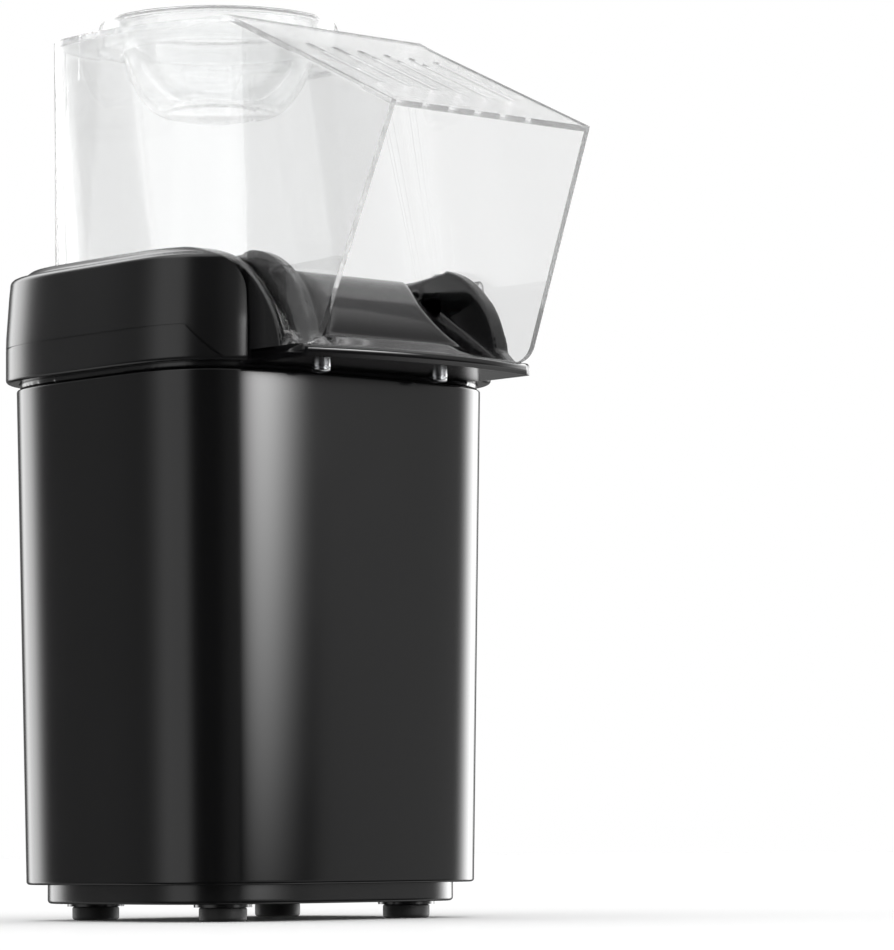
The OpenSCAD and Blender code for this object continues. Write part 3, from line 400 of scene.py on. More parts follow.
switch_low, switch_high = in_mm("switch_housing")
switch_x, switch_z = (switch_low.x + switch_high.x) / 2, (switch_low.z + switch_high.z) / 2
gland_low, gland_high = in_mm("cord_gland")
gland_x, gland_z = (gland_low.x + gland_high.x) / 2, (gland_low.z + gland_high.z) / 2
gland_neck_r, gland_flange_r, gland_deep = 5.6, 8.0, 14.0
gland_face = gland_low.y + gland_deep
seat_gap = 0.2
shelf_t, shelf_w = 2.5, 3.5
post_low, post_high = body_z + 2.5, body_z + 20.4
feet = [(x, y) for x in (-39, 39) for y in (-33, 33)]


def brick(low, high):
    """Closed box between its lowest and highest corner."""
    (x0, y0, z0), (x1, y1, z1) = low, high
    return slab([(x0, y0), (x1, y0), (x1, y1), (x0, y1)], "Z", z0, z1)


def eased(bm, radius, segments, keep):
    """Rounds the edges of a shape that keep picks."""
    bmesh.ops.bevel(
        bm, geom=[e for e in bm.edges if keep(e)], offset=radius, segments=segments, affect="EDGES",
        profile=0.5, material=-1,
    )
    return bm


def together(shapes):
    """Closed solids side by side in one shape; each is used up."""
    whole = shapes[0]
    for shape in shapes[1:]:
        mesh = bpy.data.meshes.new("part")
        shape.to_mesh(mesh)
        shape.free()
        whole.from_mesh(mesh)
        bpy.data.meshes.remove(mesh)
    return whole


shell = combine(
    "DIFFERENCE",
    tower(body_levels(0)),
    tower([(foot_a - body_wall, foot_b - body_wall, body_z - 1),
           (body_a - body_wall, body_b - body_wall, body_top + 1)]),
    brick((switch_low.x - seat_gap, 40, switch_low.z - seat_gap),
          (switch_high.x + seat_gap, 90, switch_high.z + seat_gap)),
    rod(gland_flange_r + seat_gap, gland_face, 90, axis="Y", at=(gland_x, gland_z)),
    rod(gland_neck_r + seat_gap, 40, 90, axis="Y", at=(gland_x, gland_z)),
)
shelf = combine(
    "DIFFERENCE",
    tower([(body_a - 1.2, body_b - 1.2, body_top - shelf_t), (body_a - 1.2, body_b - 1.2, body_top - 0.1)]),
    tower([(body_a - body_wall - shelf_w, body_b - body_wall - shelf_w, body_top - shelf_t - 1),
           (body_a - body_wall - shelf_w, body_b - body_wall - shelf_w, body_top + 1)]),
)
posts = [rod(5, post_low, post_high, at=at) for at in feet]
webs = [brick((min(x * 1.1, x * 1.62), y - 1, post_low), (max(x * 1.1, x * 1.62), y + 1, post_high))
        for x, y in feet]
shell = combine("UNION", shell, shelf, *posts, *webs)
piece("body_shell_moulding", shell, polished_black, "housing", "gloss_black", "body_shell")

# ---- Collar: satin cheek panels that wrap the top of the body --------------------------
# A separate ABS band with a rolled top edge and a fine styling line, open in front where
# the chute stands, with a rounded shoulder on each side of the opening.
satin_black = moulded("satin_black", (0.005, 0.005, 0.0052), 0.17, grain=0.008, wear=0.05)
collar_low, collar_high = in_mm("collar")
collar_a, collar_b = collar_high.x, collar_high.y
collar_z, collar_top = collar_low.z, collar_high.z
collar_wall = 3.6
style_z = body_top + 13.4
cheek_end = 49.0
shoulder_r = 13.0


def collar_levels(inset):
    """Levels of the collar's outside, moved in by inset: it leans in above the styling line."""
    a, b = collar_a - inset, collar_b - inset
    return (
        rolled(a, b, collar_z, 1.3, -1)
        + [(a, b, style_z), (a - 0.1, b - 0.1, style_z + 4), (a - 0.9, b - 0.9, collar_top - 6)]
        + rolled(a - 1.2, b - 1.2, collar_top, 2.2, 1)
    )


def groove_skin(depth):
    """Closed skin over the collar that reaches depth below its surface."""
    return combine("DIFFERENCE", tower([(a + 1, b + 1, z) for a, b, z in collar_levels(0)]),
                   tower([(a, b, z + (z > style_z) * 5 - (z < style_z) * 5)
                          for a, b, z in collar_levels(depth)]))


collar = combine(
    "DIFFERENCE",
    tower(collar_levels(0)),
    tower([(collar_a - collar_wall, collar_b - collar_wall, collar_z - 1),
           (collar_a - collar_wall, collar_b - collar_wall, collar_top + 1)]),
)
far = 60
opening = slab(
    [(-cheek_end, collar_z - 1), (-cheek_end, collar_top), (-cheek_end - far, collar_top),
     (-cheek_end - far, collar_top + far), (cheek_end + far, collar_top + far),
     (cheek_end + far, collar_top), (cheek_end, collar_top), (cheek_end, collar_z - 1)],
    "Y", -2 * collar_b, 0,
)
opening = eased(opening, shoulder_r, 16, lambda e: all(
    abs(abs(v.co.x) - cheek_end) < 0.01 and abs(v.co.z - collar_top) < 0.01 for v in e.verts))
line_half, line_depth = 0.25, 0.4
styling = slab(
    [(100, style_z - line_half), (-47.1, style_z - line_half), (-56.1, collar_z - 0.5),
     (-56.8, collar_z - 0.5), (-47.5, style_z + line_half), (100, style_z + line_half)],
    "X", -150, 150,
)
collar = combine("DIFFERENCE", collar, opening, combine("INTERSECT", groove_skin(line_depth), styling))
piece("collar_moulding", collar, satin_black, "housing", "satin_black", "collar")

# ---- Chute frame: the polished moulding that carries hood, chamber and chute ------------
# Its rim rises inside the collar, the trough falls over a crest to the bowed lip, and the
# cheeks run down beside it. Every edge is softened, as on the real moulding.
lip_reach = 92.0
block_a = 48.5
trough_a = 37.0
rim_z = body_top + 39.3
deck_z = body_top + 31.3
lip_z = body_top + 8.8
ledge_z = lip_z - 3.4
lip_bottom = body_top + 1.3
crest_z = body_top + 32.5
rim_arc_y, ridge_arc_y, crest_y = -40.0, -48.0, -52.0
rim_a, rim_b = collar_a - collar_wall - 0.2, collar_b - collar_wall - 0.2
bow = 7.5
bow_r = (block_a ** 2 + bow ** 2) / (2 * bow)


def fall(y, start, run, top, drop, power, root):
    """Height of an edge that is level behind start and then falls along an arc."""
    return top - drop + drop * (1 - min(1, max(0, start - y) / run) ** power) ** root


def rim_height(y):
    """Top of the outer rim, which follows the hood's foot down to the lip."""
    return fall(y, rim_arc_y, lip_reach - 58, rim_z, rim_z - lip_bottom - 4, 1.6, 0.625)


def ridge_height(y):
    """Top of the cheeks on both sides of the trough."""
    return fall(y, ridge_arc_y, lip_reach - 59, rim_z - 0.6, rim_z - lip_bottom - 4.6, 2, 0.5)


def floor_height(y):
    """Floor of the trough: up from the deck to a crest, then down to the lip."""
    if y > crest_y:
        rise = min(1, (y - crest_y) / 18)
        return crest_z - (crest_z - deck_z) * rise * rise * (3 - 2 * rise)
    run = min(1, (crest_y - y) / (lip_reach - 56))
    return lip_z + (crest_z - lip_z) * math.cos(math.pi / 2 * run ** 1.25)


def bow_y(x):
    """Front of the bowed lip at x."""
    return -lip_reach + bow_r - math.sqrt(bow_r ** 2 - x ** 2)


def block(inset, low, high):
    """Upright solid of the chute block's plan, straight at its sides and bowed in front."""
    half = block_a - inset
    front = [(half * i / 24, bow_y(half * i / 24) + inset) for i in range(-24, 25)]
    return slab(front + [(half, 3), (-half, 3)], "Z", low, high)


def under(height, front, steps=64):
    """Wide solid below an edge whose height is a function of depth, from front to behind the body."""
    points = [(front + (50 - front) * (i / steps) ** 1.6, 0) for i in range(steps + 1)]
    top = [(y, height(y)) for y, _ in points]
    return slab(top + [(70, rim_z + 1), (70, lip_bottom - 5), (front, lip_bottom - 5)], "X", -150, 150)


rim = combine(
    "INTERSECT",
    combine(
        "UNION",
        tower([(rim_a, rim_b, body_top), (rim_a, rim_b, rim_z - 5),
               (rim_a - 1.2, rim_b - 1.2, rim_z - 2), (rim_a - 4.5, rim_b - 4.5, rim_z + 1)]),
        block(0, lip_bottom, rim_z + 10),
    ),
    under(rim_height, -lip_reach + 18),
)
cheek_inset = 5.2
cheeks = combine("INTERSECT", block(cheek_inset, lip_bottom, rim_z + 10),
                 under(ridge_height, -lip_reach + 11))
slope_foot, slope_top = 0.8, 4.6
shoulder = block(slope_foot, ledge_z - 1, lip_z)
for v in shoulder.verts:
    if v.co.z > lip_z - 0.1:
        v.co.x *= (block_a - slope_top) / (block_a - slope_foot)
        v.co.y += (slope_top - slope_foot) * (v.co.y < -50)
chute = combine(
    "UNION", rim, cheeks, block(0.6, lip_bottom + 0.6, lip_z - 4), shoulder,
    tower([(body_a - 1, body_b - 1, body_top), (body_a - 1, body_b - 1, collar_z)]),
)


def bell(a, spout, back, full_y, neck, steps=24):
    """Outline of the hood: a rounded back, sides that draw in, and a straight spout."""
    right = [(spout, -160)]
    for i in range(steps + 1):
        u = i / steps
        right.append((spout + (a - spout) * u * u * (3 - 2 * u), neck + (full_y - neck) * u))
    for i in range(1, steps + 1):
        t = math.pi / 2 * i / steps
        side, rear = math.cos(t) ** (2 / squareness), math.sin(t) ** (2 / squareness)
        right.append((a * side, full_y + (back - full_y) * rear))
    right[-1] = (0, back)
    return right + [(-x, y) for x, y in right[-2::-1]]


hood_top = in_mm("hood")[1].z
hood_sink = 3.6
hood_back = collar_b - 10.8
hood_a, spout_a = 59.5, 46.5
hood_top_a, spout_top_a = 55.5, 40.5
hood_neck_y, hood_full_y = -body_b + 0.5, -body_b + 30.5


def hood_solid(inset):
    """The hood's tapering body, moved in by inset, from below the lip to above the roof."""
    foot = bell(hood_a - inset, spout_a - inset, hood_back - inset, hood_full_y, hood_neck_y)
    top = bell(hood_top_a - inset, spout_top_a - inset, hood_back - 2.5 - inset, 12, hood_neck_y + 6)
    low, high = lip_bottom - 10, hood_top
    bm = slab(foot, "Z", low, high)
    drawn_in = {(round(x, 3), round(y, 3)): place for (x, y), place in zip(foot, top)}
    for v in bm.verts:
        if v.co.z > low + 1:
            v.co = (*drawn_in[round(v.co.x, 3), round(v.co.y, 3)], high)
    crown = [f for f in bm.faces if all(v.co.z > high - 0.01 for v in f.verts)]
    made = bmesh.ops.extrude_face_region(bm, geom=crown)["geom"]
    bmesh.ops.delete(bm, geom=crown, context="FACES_ONLY")
    bmesh.ops.translate(bm, verts=[v for v in made if isinstance(v, bmesh.types.BMVert)], vec=(0, 0, 5))
    bmesh.ops.recalc_face_normals(bm, faces=bm.faces)
    return bm


spout_reach = 120.4
fold_y = -39.7
roof_drop = 38.0
roof_tilt = math.atan(roof_drop / (spout_reach + fold_y))
mouth_z = hood_top - roof_drop
tip_y, tip_r, tip_z = -lip_reach + 9.4, 8.5, lip_bottom + 4.2


def hood_profile(out, up):
    """Side outline of the hood's walls, moved outward by out and opened upward by up."""
    edge = [rim_arc_y - (lip_reach - 60) * math.sin(math.pi / 2 * i / 25) for i in range(1, 24)]
    tip = [math.radians(-25 - 125 * i / 16) for i in range(17)]
    return slab(
        [(hood_back + 10, hood_top + up), (hood_back + 10, rim_z - hood_sink - out),
         (rim_arc_y, rim_z - hood_sink - out)]
        + [(y, rim_height(y) - hood_sink - out) for y in edge]
        + [(tip_y + (tip_r + out) * math.cos(t), tip_z + tip_r + (tip_r + out) * math.sin(t)) for t in tip]
        + [(-spout_reach - out - 0.4 * up, mouth_z + up), (fold_y, hood_top + up)],
        "X", -150, 150,
    )


hood_wall, groove_gap = 2, 0.5
groove = combine(
    "INTERSECT",
    combine("DIFFERENCE", hood_solid(-groove_gap), hood_solid(hood_wall + groove_gap)),
    hood_profile(groove_gap, 40),
)
chute = combine("DIFFERENCE", chute, groove)

# space inside the walls, under the deck
hollow = combine(
    "INTERSECT",
    tower([(rim_a - 3, rim_b - 3, body_top - 1), (rim_a - 3, rim_b - 3, deck_z - 3)]),
    brick((-100, -body_b + 3, 0), (100, 100, 400)),
)
chute = combine("DIFFERENCE", chute, hollow)

# throat over the chamber and the trough of the chute
chamber_y = 3.0
chamber_r = 40.0


def throat():
    """Funnel from the hood's plan down to the chamber's mouth."""
    outline = bell(55.3, trough_a, hood_back - 4.2, hood_full_y, hood_neck_y + 6)
    outline = [(x, max(y, -58)) for x, y in outline]
    bm = bmesh.new()
    lower = [bm.verts.new((chamber_r * math.cos(t), chamber_y + chamber_r * math.sin(t), deck_z - 0.01))
             for t in [2 * math.pi * i / 64 for i in range(64)]]
    upper = [bm.verts.new((x, y, rim_z - 2 + rise)) for rise in (0, 10) for x, y in outline]
    bmesh.ops.convex_hull(bm, input=lower + upper)
    bmesh.ops.recalc_face_normals(bm, faces=bm.faces)
    return bm


def trough(half):
    """Space over the trough's floor, half to each side."""
    depths = [-lip_reach + 4 + (lip_reach - 34) * i / 48 for i in range(49)]
    return slab([(-30, rim_z + 20), (-lip_reach - 20, rim_z + 20), (-lip_reach - 20, lip_z)]
                + [(y, floor_height(y)) for y in depths], "X", -half, half)


def recess(side, reach):
    """Hollow that dishes the trough's floor from reach beside its middle to the foot of one cheek."""
    bm = bmesh.new()
    back, front, foot_slope = -44.5, -96.0, 0.649
    rows = []
    for number in range(33):
        y = back + (front - back) * number / 32
        x0, z0 = trough_a, max(ledge_z, crest_z - 3.1 + (y - back + 0.1) * foot_slope)
        x1, z1 = reach + (32 - reach) * max(0, 1 + (y - back) / 40) ** 2, floor_height(y) + 0.05
        sag = (x0 - reach) * 0.08 * min(1, (y - front) / 14)
        rows.append([
            bm.verts.new((side * (x0 + (x1 - x0) * u), y, z0 + (z1 - z0) * u - sag * math.sin(math.pi * u)))
            for u in [i / 8 for i in range(9)]
        ])
    for near, far in zip(rows, rows[1:]):
        for i in range(8):
            bm.faces.new((near[i], near[i + 1], far[i + 1], far[i]))
    made = bmesh.ops.extrude_face_region(bm, geom=bm.faces[:])["geom"]
    for v in made:
        if isinstance(v, bmesh.types.BMVert):
            v.co.z = rim_z + 20
    bmesh.ops.triangulate(bm, faces=bm.faces)
    bmesh.ops.recalc_face_normals(bm, faces=bm.faces)
    return bm


chute = combine("DIFFERENCE", chute, throat(), rod(chamber_r, deck_z - 20, deck_z + 1, at=(0, chamber_y)),
                trough(trough_a), recess(-1, 30), recess(1, 6))

# the faces are made even and every edge is softened
even = as_object(chute, "chute")
remesh = even.modifiers.new("even", "REMESH")
remesh.mode = "VOXEL"
remesh.voxel_size = 0.55
soften = even.modifiers.new("soften", "SMOOTH")
soften.factor = 0.5
soften.iterations = 14
thin = even.modifiers.new("thin", "DECIMATE")
thin.ratio = 0.4
chute = as_bmesh(even)

# the bowed band along the lip, with its rounded upper edge and the seat of the underplate
band = combine(
    "INTERSECT", block(0, lip_bottom, ledge_z), brick((-60, -100, 0), (60, -body_b - 0.8, 300))
)
bmesh.ops.dissolve_limit(band, angle_limit=math.radians(0.2), verts=band.verts, edges=band.edges)
band = eased(band, 1.5, 6, lambda e: all(v.co.z > ledge_z - 0.1 and v.co.y < -body_b - 1 for v in e.verts))
band = combine("DIFFERENCE", band, block(1.8, lip_bottom - 1, lip_bottom + 2))
chute = together([chute, band])
glossy_chute = moulded("glossy_chute", (0.004, 0.004, 0.0043), 0.12, wear=0.03)
piece("chute_moulding", chute, glossy_chute, "housing", "gloss_black", "chute_frame", sharp=180)

# ---- Hood: clear moulding that lifts off ------------------------------------------------
# Thin styrene walls with rounded upper edges, six vent slots down its sloping roof and a
# round hole for the measuring cup. Its foot stands in the groove inside the rim.
clear = bpy.data.materials.new("clear_styrene")
glass = Nodes(clear)
place = glass.node("ShaderNodeTexCoord", out="Object")
ripple = glass.node("ShaderNodeTexNoise", None, {"Vector": place, "Scale": 14.0, "Detail": 1.0})
glass.node("ShaderNodeOutputMaterial", None, {"Surface": glass.node("ShaderNodeBsdfPrincipled", None, {
    "Base Color": (0.98, 0.985, 0.985, 1), "Roughness": 0.02, "IOR": 1.49, "Transmission Weight": 1.0,
    "Alpha": 0.8,
    "Normal": glass.node("ShaderNodeBump", None, {"Height": ripple, "Strength": 0.2, "Distance": 0.0006}),
})})


def roof(drop):
    """Wide solid under the flat top and sloping roof, lowered by drop."""
    bend = drop * math.tan(roof_tilt / 2)
    front = -spout_reach - 60
    return slab(
        [(hood_back + 20, -50), (hood_back + 20, hood_top - drop), (fold_y + bend, hood_top - drop),
         (front, hood_top - drop + (front - fold_y) * math.tan(roof_tilt)), (front, -50)],
        "X", -150, 150,
    )


def round_roof_edges(bm, radius):
    """Rounds the edge between the roof and the walls."""
    bmesh.ops.dissolve_limit(bm, angle_limit=math.radians(0.5), verts=bm.verts, edges=bm.edges)
    edges = []
    for e in bm.edges:
        if len(e.link_faces) != 2:
            continue
        up = sorted(f.normal.z for f in e.link_faces)
        front = any(f.normal.y < -0.9 for f in e.link_faces)
        if up[1] > 0.8 and abs(up[0]) < 0.4 and not front:
            edges.append(e)
    bmesh.ops.bevel(bm, geom=edges, offset=radius, segments=5, affect="EDGES", profile=0.5, material=-1,
                    clamp_overlap=True)
    return bm


cup_y, cup_neck_r = 15.5, 33.0
vent_count, vent_pitch, vent_r = 6, 11, 1.5
vent_ends = (-65.3, -27.1)
outside = round_roof_edges(combine("INTERSECT", hood_solid(0), roof(0)), 3.5)
inside = round_roof_edges(combine("INTERSECT", hood_solid(hood_wall), roof(hood_wall)), 2.0)
hood = combine("DIFFERENCE", outside, inside)
hood = combine("INTERSECT", hood, hood_profile(0, 0))
cup_hole = rod(cup_neck_r + 0.6, hood_top - 10, hood_top + 10, at=(0, cup_y), sides=128)
hood = combine("DIFFERENCE", hood, cup_hole)
for i in range(vent_count):
    x = (i - (vent_count - 1) / 2) * vent_pitch
    vent = combine(
        "UNION", brick((x - vent_r, vent_ends[0], -6), (x + vent_r, vent_ends[1], 6)),
        *[rod(vent_r, -6, 6, at=(x, y), sides=24) for y in vent_ends],
    )
    bmesh.ops.rotate(vent, verts=vent.verts, matrix=Matrix.Rotation(roof_tilt, 3, "X"))
    bmesh.ops.translate(vent, verts=vent.verts, vec=(0, fold_y, hood_top))
    hood = combine("DIFFERENCE", hood, vent)
piece("hood_moulding", hood, clear, "hood", "clear_plastic", "hood")

# ---- Measuring cup: clear bowl that hangs in the hood's top by its rim -----------------
cup_top = in_mm("measuring_cup")[1].z
cup_bottom_r, cup_rim_r, cup_depth, cup_wall = 18.5, 40.1, 22.0, 1.8


def turned(profile, at=(0, 0), steps=128):
    """Closed solid of revolution round an upright axis; the profile is radius and height."""
    bm = bmesh.new()
    verts = [bm.verts.new((r, 0, z)) for r, z in profile]
    edges = [bm.edges.new(pair) for pair in zip(verts, verts[1:])]
    if profile[0][0] > 0:
        edges.append(bm.edges.new((verts[-1], verts[0])))
    bmesh.ops.spin(bm, geom=verts + edges, cent=(0, 0, 0), axis=(0, 0, 1), angle=2 * math.pi, steps=steps,
                   use_merge=True)
    bmesh.ops.remove_doubles(bm, verts=bm.verts, dist=0.001)
    bmesh.ops.recalc_face_normals(bm, faces=bm.faces)
    bmesh.ops.translate(bm, verts=bm.verts, vec=(*at, 0))
    return bm


def bowl(u, wall):
    """Radius of the bowl, u of the way down to its bottom."""
    return cup_bottom_r + (cup_neck_r - cup_bottom_r) * (1 - u ** 1.6) ** 0.625 - wall


cup_low = hood_top - cup_depth
cup = turned(
    [(0, cup_low), (cup_bottom_r - 1, cup_low), (cup_bottom_r - 0.2, cup_low + 0.2)]
    + [(bowl(i / 24, 0), hood_top - cup_depth * i / 24) for i in range(23, -1, -1)]
    + [(cup_neck_r, cup_top - cup_wall), (cup_rim_r - cup_wall, cup_top - cup_wall),
       (cup_rim_r - cup_wall, hood_top + 0.3), (cup_rim_r, hood_top + 0.3), (cup_rim_r, cup_top - 1.2),
       (cup_rim_r - 0.3, cup_top - 0.4), (cup_rim_r - 1.2, cup_top), (cup_neck_r - 0.8, cup_top),
       (cup_neck_r - 1.6, cup_top - 0.4), (cup_neck_r - cup_wall, cup_top - 1.2)]
    + [(bowl(i / 24, cup_wall), hood_top - (cup_depth - cup_wall) * i / 24) for i in range(24)]
    + [(cup_bottom_r - cup_wall, cup_low + cup_wall), (0, cup_low + cup_wall)],
    at=(0, cup_y),
)
piece("cup_moulding", cup, clear, "cup", "clear_plastic", "measuring_cup")

# ---- Popping chamber: deep-drawn aluminium pot under the chute --------------------------
# One turned wall with a flange that the clamp ring holds, and slanted louvres near its
# bottom that blow the hot air round.
def bright(name, colour, roughness, scale, squash=1.0):
    """Bare metal with a drawn or ground surface; squash stretches its marks along the height."""
    made = bpy.data.materials.new(name)
    skin = Nodes(made)
    place = skin.node("ShaderNodeTexCoord", out="Object")
    drawn = skin.node("ShaderNodeMapping", None, {"Vector": place, "Scale": (1, 1, squash)})
    marks = skin.node("ShaderNodeTexNoise", None, {"Vector": drawn, "Scale": scale, "Detail": 5.0})
    haze = skin.node("ShaderNodeTexNoise", None, {"Vector": place, "Scale": 60.0, "Detail": 2.0})
    skin.node("ShaderNodeOutputMaterial", None, {"Surface": skin.node("ShaderNodeBsdfPrincipled", None, {
        "Base Color": skin.mix(haze, (*[c * 0.85 for c in colour], 1), (*colour, 1)),
        "Roughness": roughness + (marks - 0.5) * 0.15 + (haze - 0.5) * 0.1, "Metallic": 1.0,
        "Normal": skin.node("ShaderNodeBump", None, {"Height": marks, "Strength": 0.3, "Distance": 0.0001}),
    })})
    return made


def finish_nodes(material, *names):
    """Gives CAD nodes that stay in view their finish."""
    for name in names:
        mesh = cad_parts[name].data
        mesh.materials.clear()
        mesh.materials.append(material)


aluminium = bright("aluminium", (0.80, 0.81, 0.83), 0.32, 900.0, 6.0)
zinc_steel = bright("zinc_steel", (0.72, 0.73, 0.75), 0.22, 700.0)
sheet_steel = bright("sheet_steel", (0.56, 0.57, 0.59), 0.36, 500.0)
chamber_wall, chamber_round, flange_r = 1.2, 12.0, chamber_r + 6
chamber_bottom = deck_z - 76
louvre_count, louvre_z = 14, chamber_bottom + 13
flange_z = in_mm("popping_chamber")[1].z
outer_round, outer_r = chamber_round + chamber_wall, chamber_r + chamber_wall
round_z = chamber_bottom + chamber_round
bend = [math.radians(90 * i / 10) for i in range(11)]
pot = turned(
    [(0, chamber_bottom - chamber_wall)]
    + [(outer_r + outer_round * (math.sin(t) - 1), round_z - outer_round * math.cos(t)) for t in bend]
    + [(outer_r, flange_z - 2.0), (chamber_r + 2.0, flange_z - chamber_wall),
       (flange_r - 0.4, flange_z - chamber_wall), (flange_r, flange_z - 0.8), (flange_r, flange_z - 0.3),
       (flange_r - 0.4, flange_z), (chamber_r + 0.8, flange_z), (chamber_r, flange_z - 0.8)]
    + [(chamber_r + chamber_round * (math.sin(t) - 1), round_z - chamber_round * math.cos(t))
       for t in reversed(bend)]
    + [(0, chamber_bottom)],
    at=(0, chamber_y),
)
for i in range(louvre_count):
    louvre = brick((-4, -0.9, -6.5), (4, 0.9, 6.5))
    bmesh.ops.rotate(louvre, verts=louvre.verts, matrix=Matrix.Rotation(math.radians(35), 3, "X"))
    bmesh.ops.translate(louvre, verts=louvre.verts, vec=(chamber_r, 0, louvre_z))
    turn = Matrix.Rotation(2 * math.pi * i / louvre_count, 3, "Z")
    bmesh.ops.rotate(louvre, verts=louvre.verts, matrix=turn)
    bmesh.ops.translate(louvre, verts=louvre.verts, vec=(0, chamber_y, 0))
    pot = combine("DIFFERENCE", pot, louvre)
piece("chamber_pot", pot, aluminium, "housing", "aluminium", "popping_chamber")
silicone = moulded("silicone", (0.42, 0.07, 0.04), 0.55, wear=0.08)
finish_nodes(sheet_steel, "chamber_clamp_ring", "heater_housing")
finish_nodes(silicone, "chamber_gasket")

# ---- Base plate: satin moulding that closes the body from below --------------------------
# Set back from the body's foot, with a rolled lower edge, air slots for the fan and a boss
# over each rubber foot.
base_low, base_high = in_mm("base_plate")
base_a, base_b, base_z = foot_a - 5.8, foot_b - 5.8, base_low.z + 1
base_wall = 2.4
air_slot_r, air_slot_y, air_slot_pitch = 1.5, 15.5, 6
spigot_a, spigot_b = base_high.x, foot_b - (foot_a - base_high.x)
base = combine(
    "UNION",
    tower(rolled(base_a, base_b, base_z, 1.2, -1) + [(base_a, base_b, body_z + 0.1)]),
    tower([(spigot_a, spigot_b, body_z), (spigot_a, spigot_b, base_high.z)]),
)
base = combine("DIFFERENCE", base, tower([(base_a - base_wall, base_b - base_wall, base_z + base_wall),
                                          (base_a - base_wall, base_b - base_wall, body_z + 5)]))
base = combine(
    "UNION", base,
    *[rod(9.3, base_low.z, base_z + 0.5, at=at) for at in feet],
    *[rod(6.2, base_z + 0.2, base_high.z, at=at) for at in feet],
)
for x, y in feet:
    base = combine("DIFFERENCE", base, rod(3.2, base_low.z - 1, base_low.z + 4.8, at=(x, y)),
                   rod(1.7, base_z, base_z + 20, at=(x, y)))
for i in range(-4, 5):
    x = i * air_slot_pitch
    base = combine(
        "DIFFERENCE", base,
        brick((x - air_slot_r, -air_slot_y, 0), (x + air_slot_r, air_slot_y, base_z + 3)),
        *[rod(air_slot_r, 0, base_z + 3, at=(x, y), sides=24) for y in (-air_slot_y, air_slot_y)],
    )
piece("base_moulding", base, satin_black, "housing", "satin_black", "base_plate")

# ---- Rubber feet: four turned pads pressed into the base --------------------------------
# Soft black rubber with a rounded tread and a short stem that the base grips.
rubber = moulded("rubber", (0.012, 0.012, 0.012), 0.62, grain=0.03, grain_size=0.8, wear=0.1)

pad = [(0, 0.5), (3.6, 0.5), (4.2, 0), (6.7, 0), (7.3, 0.25), (7.62, 0.7), (7.7, 1.2), (7.7, 3.9),
       (7.5, 4.3), (7.1, 4.45), (3.0, 4.45), (3.0, 6.0), (0, 6.0)]
piece("foot_pads", together([turned(pad, at=at, steps=64) for at in feet]), rubber, "housing", "rubber",
      "rubber_feet")

# ---- Underplate and its two screws under the chute --------------------------------------
# A satin plate closes the chute block from below; two bright pan-head screws hold it.
finish_nodes(satin_black, "chute_underplate")
screw_low, screw_high = in_mm("chute_screws")
lip_screws = [(-25, -66), (25, -66)]
recess_half, recess_w, recess_deep = 1.6, 0.35, 1.2


def pan_screw(x, y):
    """Screw with a captive washer, its cross recess looking down."""
    low, high = screw_low.z, screw_high.z
    bolt = turned(
        [(0, low), (1.9, low), (2.6, low + 0.25), (3.0, low + 0.8), (3.0, low + 1.15), (2.4, low + 1.35),
         (2.4, low + 1.5), (3.1, low + 1.65), (3.1, low + 2.15), (1.5, low + 2.2), (1.5, high - 0.5),
         (1.1, high), (0, high)],
        at=(x, y), steps=48,
    )
    arms = [brick((x - a, y - b, low - 1), (x + a, y + b, low + recess_deep))
            for a, b in ((recess_half, recess_w), (recess_w, recess_half))]
    return combine("DIFFERENCE", bolt, *arms)


piece("chute_pan_screws", together([pan_screw(*at) for at in lip_screws]), zinc_steel,
      "housing", "zinc_steel", "chute_screws")
finish_nodes(zinc_steel, "base_screws", "board_screws", "frame_screws", "clamp_screws", "duct_screws",
             "motor_screws", "motor_can", "motor_shaft")

# ---- Switch: rocker in a bezel that snaps into the rear wall ----------------------------
# A polished black bezel with rounded corners; the rocker rides on a pin across its pocket.
face_y = switch_high.y
bezel_t, switch_deep, pin_r = 2.2, 14.0, 1.0
pocket_x, pocket_z = 2.6, 2.2
bezel = brick((switch_low.x, face_y - bezel_t, switch_low.z), (switch_high.x, face_y, switch_high.z))
bezel = eased(bezel, 1.6, 6, lambda e: abs(e.verts[0].co.y - e.verts[1].co.y) > 1)
bezel = eased(bezel, 0.6, 3, lambda e: all(v.co.y > face_y - 0.01 for v in e.verts))
bezel = combine("UNION", bezel, brick((switch_low.x + 1.2, face_y - switch_deep, switch_low.z + 1.2),
                                      (switch_high.x - 1.2, face_y - 1, switch_high.z - 1.2)))
bezel = combine(
    "DIFFERENCE", bezel,
    brick((switch_low.x + pocket_x, face_y - switch_deep + 2, switch_low.z + pocket_z),
          (switch_high.x - pocket_x, face_y + 2, switch_high.z - pocket_z)),
    rod(pin_r + 0.15, switch_x - 8.8, switch_x + 8.8, axis="X", at=(face_y - 2, switch_z), sides=32),
)
piece("switch_bezel", bezel, polished_black, "housing", "gloss_black", "switch_housing")

rocker_tilt = math.radians(8)
paddle = slab([(0.6, 4.6), (2.2, 0), (0.6, -4.6), (-1, -4.2), (-3, -1.4), (-3, 1.4), (-1, 4.2)],
              "X", -7.5, 7.5)
paddle = eased(paddle, 0.5, 3, lambda e: e.calc_length() > 1.5)
paddle = combine("UNION", paddle, rod(pin_r, -8.7, 8.7, axis="X", sides=32))
bmesh.ops.rotate(paddle, verts=paddle.verts, matrix=Matrix.Rotation(rocker_tilt, 3, "X"))
bmesh.ops.translate(paddle, verts=paddle.verts, vec=(switch_x, face_y - 2, switch_z))
piece("rocker_paddle", paddle, satin_black, "rocker", "satin_black", "switch_rocker")

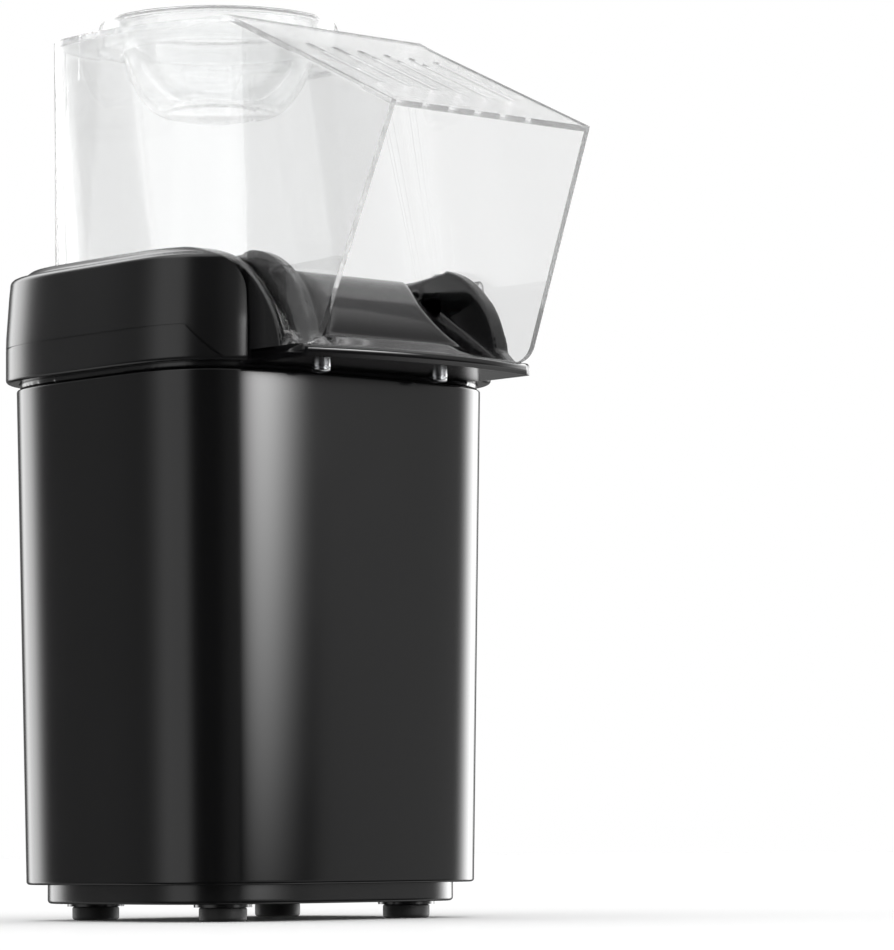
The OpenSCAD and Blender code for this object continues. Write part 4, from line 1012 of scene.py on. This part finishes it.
# ---- Cord gland: moulded bush in the rear wall ------------------------------------------
# A flanged tube through the wall with a nut behind it; the cord itself is not modelled.
cord_hole_r = 3.6
bush = turned(
    [(cord_hole_r, 0.4 - gland_deep), (cord_hole_r + 0.4, -gland_deep), (gland_neck_r, -gland_deep),
     (gland_neck_r, 0), (gland_flange_r - 0.4, 0), (gland_flange_r, 0.4), (gland_flange_r, 1.9),
     (gland_flange_r - 0.5, 2.4), (gland_neck_r + 1, 2.4), (5.8, 4.5), (5.3, 4.8), (4.3, 4.8),
     (cord_hole_r, 4.2)],
    steps=64,
)
bmesh.ops.rotate(bush, verts=bush.verts, matrix=Matrix.Rotation(math.radians(-90), 3, "X"))
bmesh.ops.translate(bush, verts=bush.verts, vec=(gland_x, gland_face, gland_z))
piece("gland_bush", bush, satin_black, "housing", "satin_black", "cord_gland")
finish_nodes(satin_black, "gland_nut", "fan_duct", "rectifier_diodes")

# ---- Heater: wire on mica cards with its two cut-outs -----------------------------------
# Bare heating wire in notches of two crossed mica cards; a disc thermostat and a fuse sit
# against the sheet-steel can.
finish_nodes(moulded("mica", (0.55, 0.46, 0.28), 0.45, wear=0.2), "mica_plate_long", "mica_plate_cross")
finish_nodes(bright("heating_wire", (0.42, 0.38, 0.34), 0.42, 800.0), "heater_coil")
finish_nodes(moulded("ceramic_white", (0.78, 0.76, 0.70), 0.4, wear=0.1), "thermostat", "thermal_fuse")

# ---- Fan, motor and electrics: bought-in parts inside the body --------------------------
# A moulded impeller on a small brushed motor, and a rectifier board and terminal block on
# the base.
ivory = moulded("ivory_plastic", (0.72, 0.70, 0.62), 0.4, wear=0.08)
finish_nodes(ivory, "fan_impeller", "motor_end_cap", "terminal_block")
finish_nodes(bright("copper", (0.78, 0.36, 0.18), 0.3, 900.0, 8.0), "motor_armature")
finish_nodes(bright("bronze", (0.66, 0.46, 0.22), 0.34, 700.0), "motor_bushes", "switch_terminals")
finish_nodes(moulded("ferrite", (0.035, 0.035, 0.038), 0.6, wear=0.1), "motor_magnets", "motor_brushes")
finish_nodes(moulded("board_green", (0.02, 0.12, 0.045), 0.35, wear=0.1), "rectifier_board")
